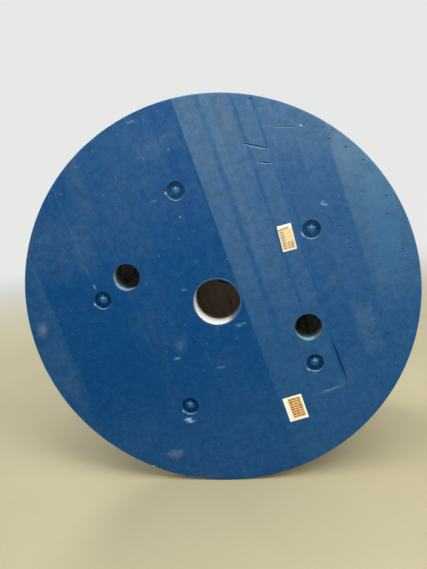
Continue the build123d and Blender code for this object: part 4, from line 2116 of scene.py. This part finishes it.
@dataclass
class PaintSpots:
    """Small spots of pale paint on the front face: X, Z, half width and half height of each."""

    spots: Sequence[tuple[float, float, float, float]] = (
        (-0.172, -0.576, 0.0060, 0.0050), (-0.160, -0.580, 0.0040, 0.0040),
        (-0.138, 0.393, 0.0016, 0.0060), (-0.366, -0.818, 0.0100, 0.0030),
        (0.398, 0.741, 0.0070, 0.0030),
    )
    height: float = 0.0004
    sink: float = 0.0001
    tone: float = 0.8

    def build(self, boards: Object) -> None:
        """Models each spot as a flat dome on the boards.

        Args:
            boards: the finished front boards.
        """
        domes = []
        for x, z, half_width, half_height in self.spots:
            dome = added(bpy.ops.mesh.primitive_uv_sphere_add, segments=12, ring_count=6, radius=1.0)
            y = surface_y(boards, x, z) + self.sink
            dome.matrix_world = Matrix.Translation((x, y, z)) @ Matrix.Diagonal(
                (half_width, self.height, half_height, 1))
            tag(dome, self.tone)
            domes.append(dome)
        piece = joined(domes, "paint_spots")
        smoothed(piece, 60)
        NailPaint("spot_paint").lay(piece)
        enrol(piece)


@dataclass(frozen=True)
class Lamp:
    """A square soft lamp: where it hangs, what it points at, its side, watts and colour."""

    name: str
    place: Sequence[float]
    aim: Sequence[float]
    side: float
    watts: float
    colour: Colour = (1, 1, 1)

    def hang(self) -> None:
        """Hangs the lamp."""
        lamp = added(bpy.ops.object.light_add, type="AREA", location=self.place)
        lamp.name = self.name
        lamp.data.size = self.side
        lamp.data.energy = self.watts
        lamp.data.color = self.colour
        towards = Vector(self.aim) - Vector(self.place)
        lamp.rotation_euler = towards.to_track_quat("-Z", "Y").to_euler()


@dataclass
class Studio:
    """Floor, world, lamps and the camera at the photograph's place."""

    floor_colour: Colour = (0.440, 0.395, 0.245)
    worn_floor: Colour = (0.400, 0.355, 0.215)
    floor_grit: Colour = (0.300, 0.265, 0.180)
    backdrop: Colour = (0.80, 0.81, 0.80)
    skylight: Colour = (0.94, 0.97, 1.0)
    ambient: float = 0.60
    lamps: Sequence[Lamp] = (
        Lamp("key_lamp", (2.6, -3.6, 3.6), (0, -0.4, 0), 2.2, 149.0, (1.0, 0.99, 0.96)),
        Lamp("fill_lamp", (-3.2, -3.0, 1.6), (0, -0.4, 0), 2.0, 8.0),
        Lamp("top_lamp", (0.3, -2.2, 3.4), (0, -0.5, 0), 2.6, 102.0),
        Lamp("front_lamp", (0.2, -5.0, 1.2), (0, -0.5, 0), 1.8, 44.0),
        Lamp("back_lamp", (-2.4, 3.6, 3.2), (0, 0.4, 0), 2.2, 150.0),
    )
    camera_place: Sequence[float] = (0.199, -2.741, 0.550)
    camera_right: Sequence[float] = (0.9946, 0.0804, -0.0661)
    camera_up: Sequence[float] = (0.0478, 0.2108, 0.9760)
    camera_ahead: Sequence[float] = (-0.0924, 0.9742, -0.2058)
    lens: float = 31.89
    sensor: float = 36.0

    def floor(self) -> None:
        """Lays the floor, darker to the left and lighter to the right as painted shade and light,
        which fades into the backdrop far from the drum.
        """
        floor = added(bpy.ops.mesh.primitive_circle_add, vertices=64, radius=40.0,
                      fill_type="NGON", location=(0, 0, -FLANGE_RADIUS))
        floor.name = "studio_floor"
        bench = NodeBench(bpy.data.materials.new("floor_concrete"))
        place = bench.place()
        patch = bench.noise(place, 1.3, 6.0, 0.6)
        grit = bench.noise(place, 45.0, 4.0, 0.6)
        shade = bench.blend(bench.ramp(patch, 0.3, 0.7, 0.0, 0.5), self.floor_colour,
                            self.worn_floor)
        shade = bench.blend(bench.ramp(grit, 0.6, 0.8, 0.0, 0.25), shade, self.floor_grit)
        side, _, _ = bench.parts(place)
        # Painted shade and light: the floor is darker to the left and lighter to the right.
        level = bench.ramp(side, -1.3, 1.3, 0.93, 1.10)
        shader = bench.node("ShaderNodeBsdfPrincipled", {
            "Base Color": bench.vectors("MULTIPLY", shade, bench.evenly(level)),
            "Roughness": 0.65, "Specular IOR Level": 0.2, "Normal": bench.bump(grit, 0.0008)})
        glow = bench.node("ShaderNodeEmission", {"Color": (*self.backdrop, 1.0), "Strength": 1.0})
        fade = bench.node("ShaderNodeMixShader", {
            0: bench.ramp(bench.vectors("LENGTH", place), 2.2, 7.5),
            1: shader.outputs[0], 2: glow.outputs[0]})
        bench.node("ShaderNodeOutputMaterial", {"Surface": fade.outputs[0]})
        floor.data.materials.append(bench.owner)

    def world(self) -> None:
        """Makes the pale backdrop that cameras and gloss see, and the soft light all round."""
        world = bpy.data.worlds.new("studio_world")
        bpy.context.scene.world = world
        bench = NodeBench(world)
        rays = bench.node("ShaderNodeLightPath").outputs
        seen = bench.sums("MAXIMUM", rays["Is Camera Ray"], rays["Is Glossy Ray"])
        seen = bench.sums("MAXIMUM", seen, rays["Is Transmission Ray"])
        light = bench.node("ShaderNodeBackground", {0: (*self.skylight, 1.0), 1: self.ambient})
        shown = bench.node("ShaderNodeBackground", {0: (*self.backdrop, 1.0)})
        choose = bench.node("ShaderNodeMixShader", {
            0: seen, 1: light.outputs[0], 2: shown.outputs[0]})
        bench.node("ShaderNodeOutputWorld", {0: choose.outputs[0]})

    def camera(self) -> None:
        """Sets up the camera where the photograph was taken."""
        camera = added(bpy.ops.object.camera_add, location=self.camera_place)
        right, up, ahead = (Vector(v).normalized() for v in (
            self.camera_right, self.camera_up, self.camera_ahead))
        turn = Matrix((right, up, -ahead)).transposed().to_4x4()
        camera.matrix_world = Matrix.Translation(self.camera_place) @ turn
        camera.data.lens = self.lens
        camera.data.sensor_width = self.sensor
        camera.data.dof.use_dof = False
        bpy.context.scene.camera = camera

    def build(self) -> None:
        """Sets up the whole studio."""
        self.floor()
        self.world()
        for lamp in self.lamps:
            lamp.hang()
        self.camera()
        bpy.context.scene.view_settings.view_transform = "Standard"


LABELS = (
    PaperLabel("upper_paper_label", "label_upper", (0.324, 0.276), 0.062, 0.116, 12.0,
               LabelPaper("upper_label_print", tinted=Print(0.04, 0.95, 0.04, 0.84, 1, 1),
                          prints=(Print(0.08, 0.38, 0.07, 0.78, 9, 1, 1.0, 0.70),
                                  Print(0.42, 0.90, 0.07, 0.33, 3, 2, 0.9, 0.80)),
                          paper=(0.67, 0.64, 0.52), tint=(0.60, 0.44, 0.21),
                          ink=(0.135, 0.070, 0.035), rule_at=0.83)),
    PaperLabel("lower_paper_label", "label_lower", (0.336, -0.527), 0.090, 0.122, 16.2,
               LabelPaper("lower_label_print", tinted=Print(0.22, 0.91, 0.09, 0.93, 1, 1),
                          prints=(Print(0.25, 0.89, 0.11, 0.92, 8, 3),))),
)


def dress_discs() -> None:
    """Lays bare wood on the barrel discs, whose shapes stay the frame's own."""
    for side in Side:
        DISC_WOOD.lay(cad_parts[f"{side.value}_barrel_disc"])


def main() -> None:
    """Builds the drum and its studio."""
    logging.basicConfig(level=logging.INFO, format="%(name)s %(message)s")
    Studio().build()
    front = Flange().build()
    barrel = Barrel()
    barrel.nails(barrel.build())
    TieRods().build()
    SpindleLiner().build()
    for label in LABELS:
        label.build(front)
    PaintSpots().build(front)
    dress_discs()


if __name__ == "__main__":
    main()
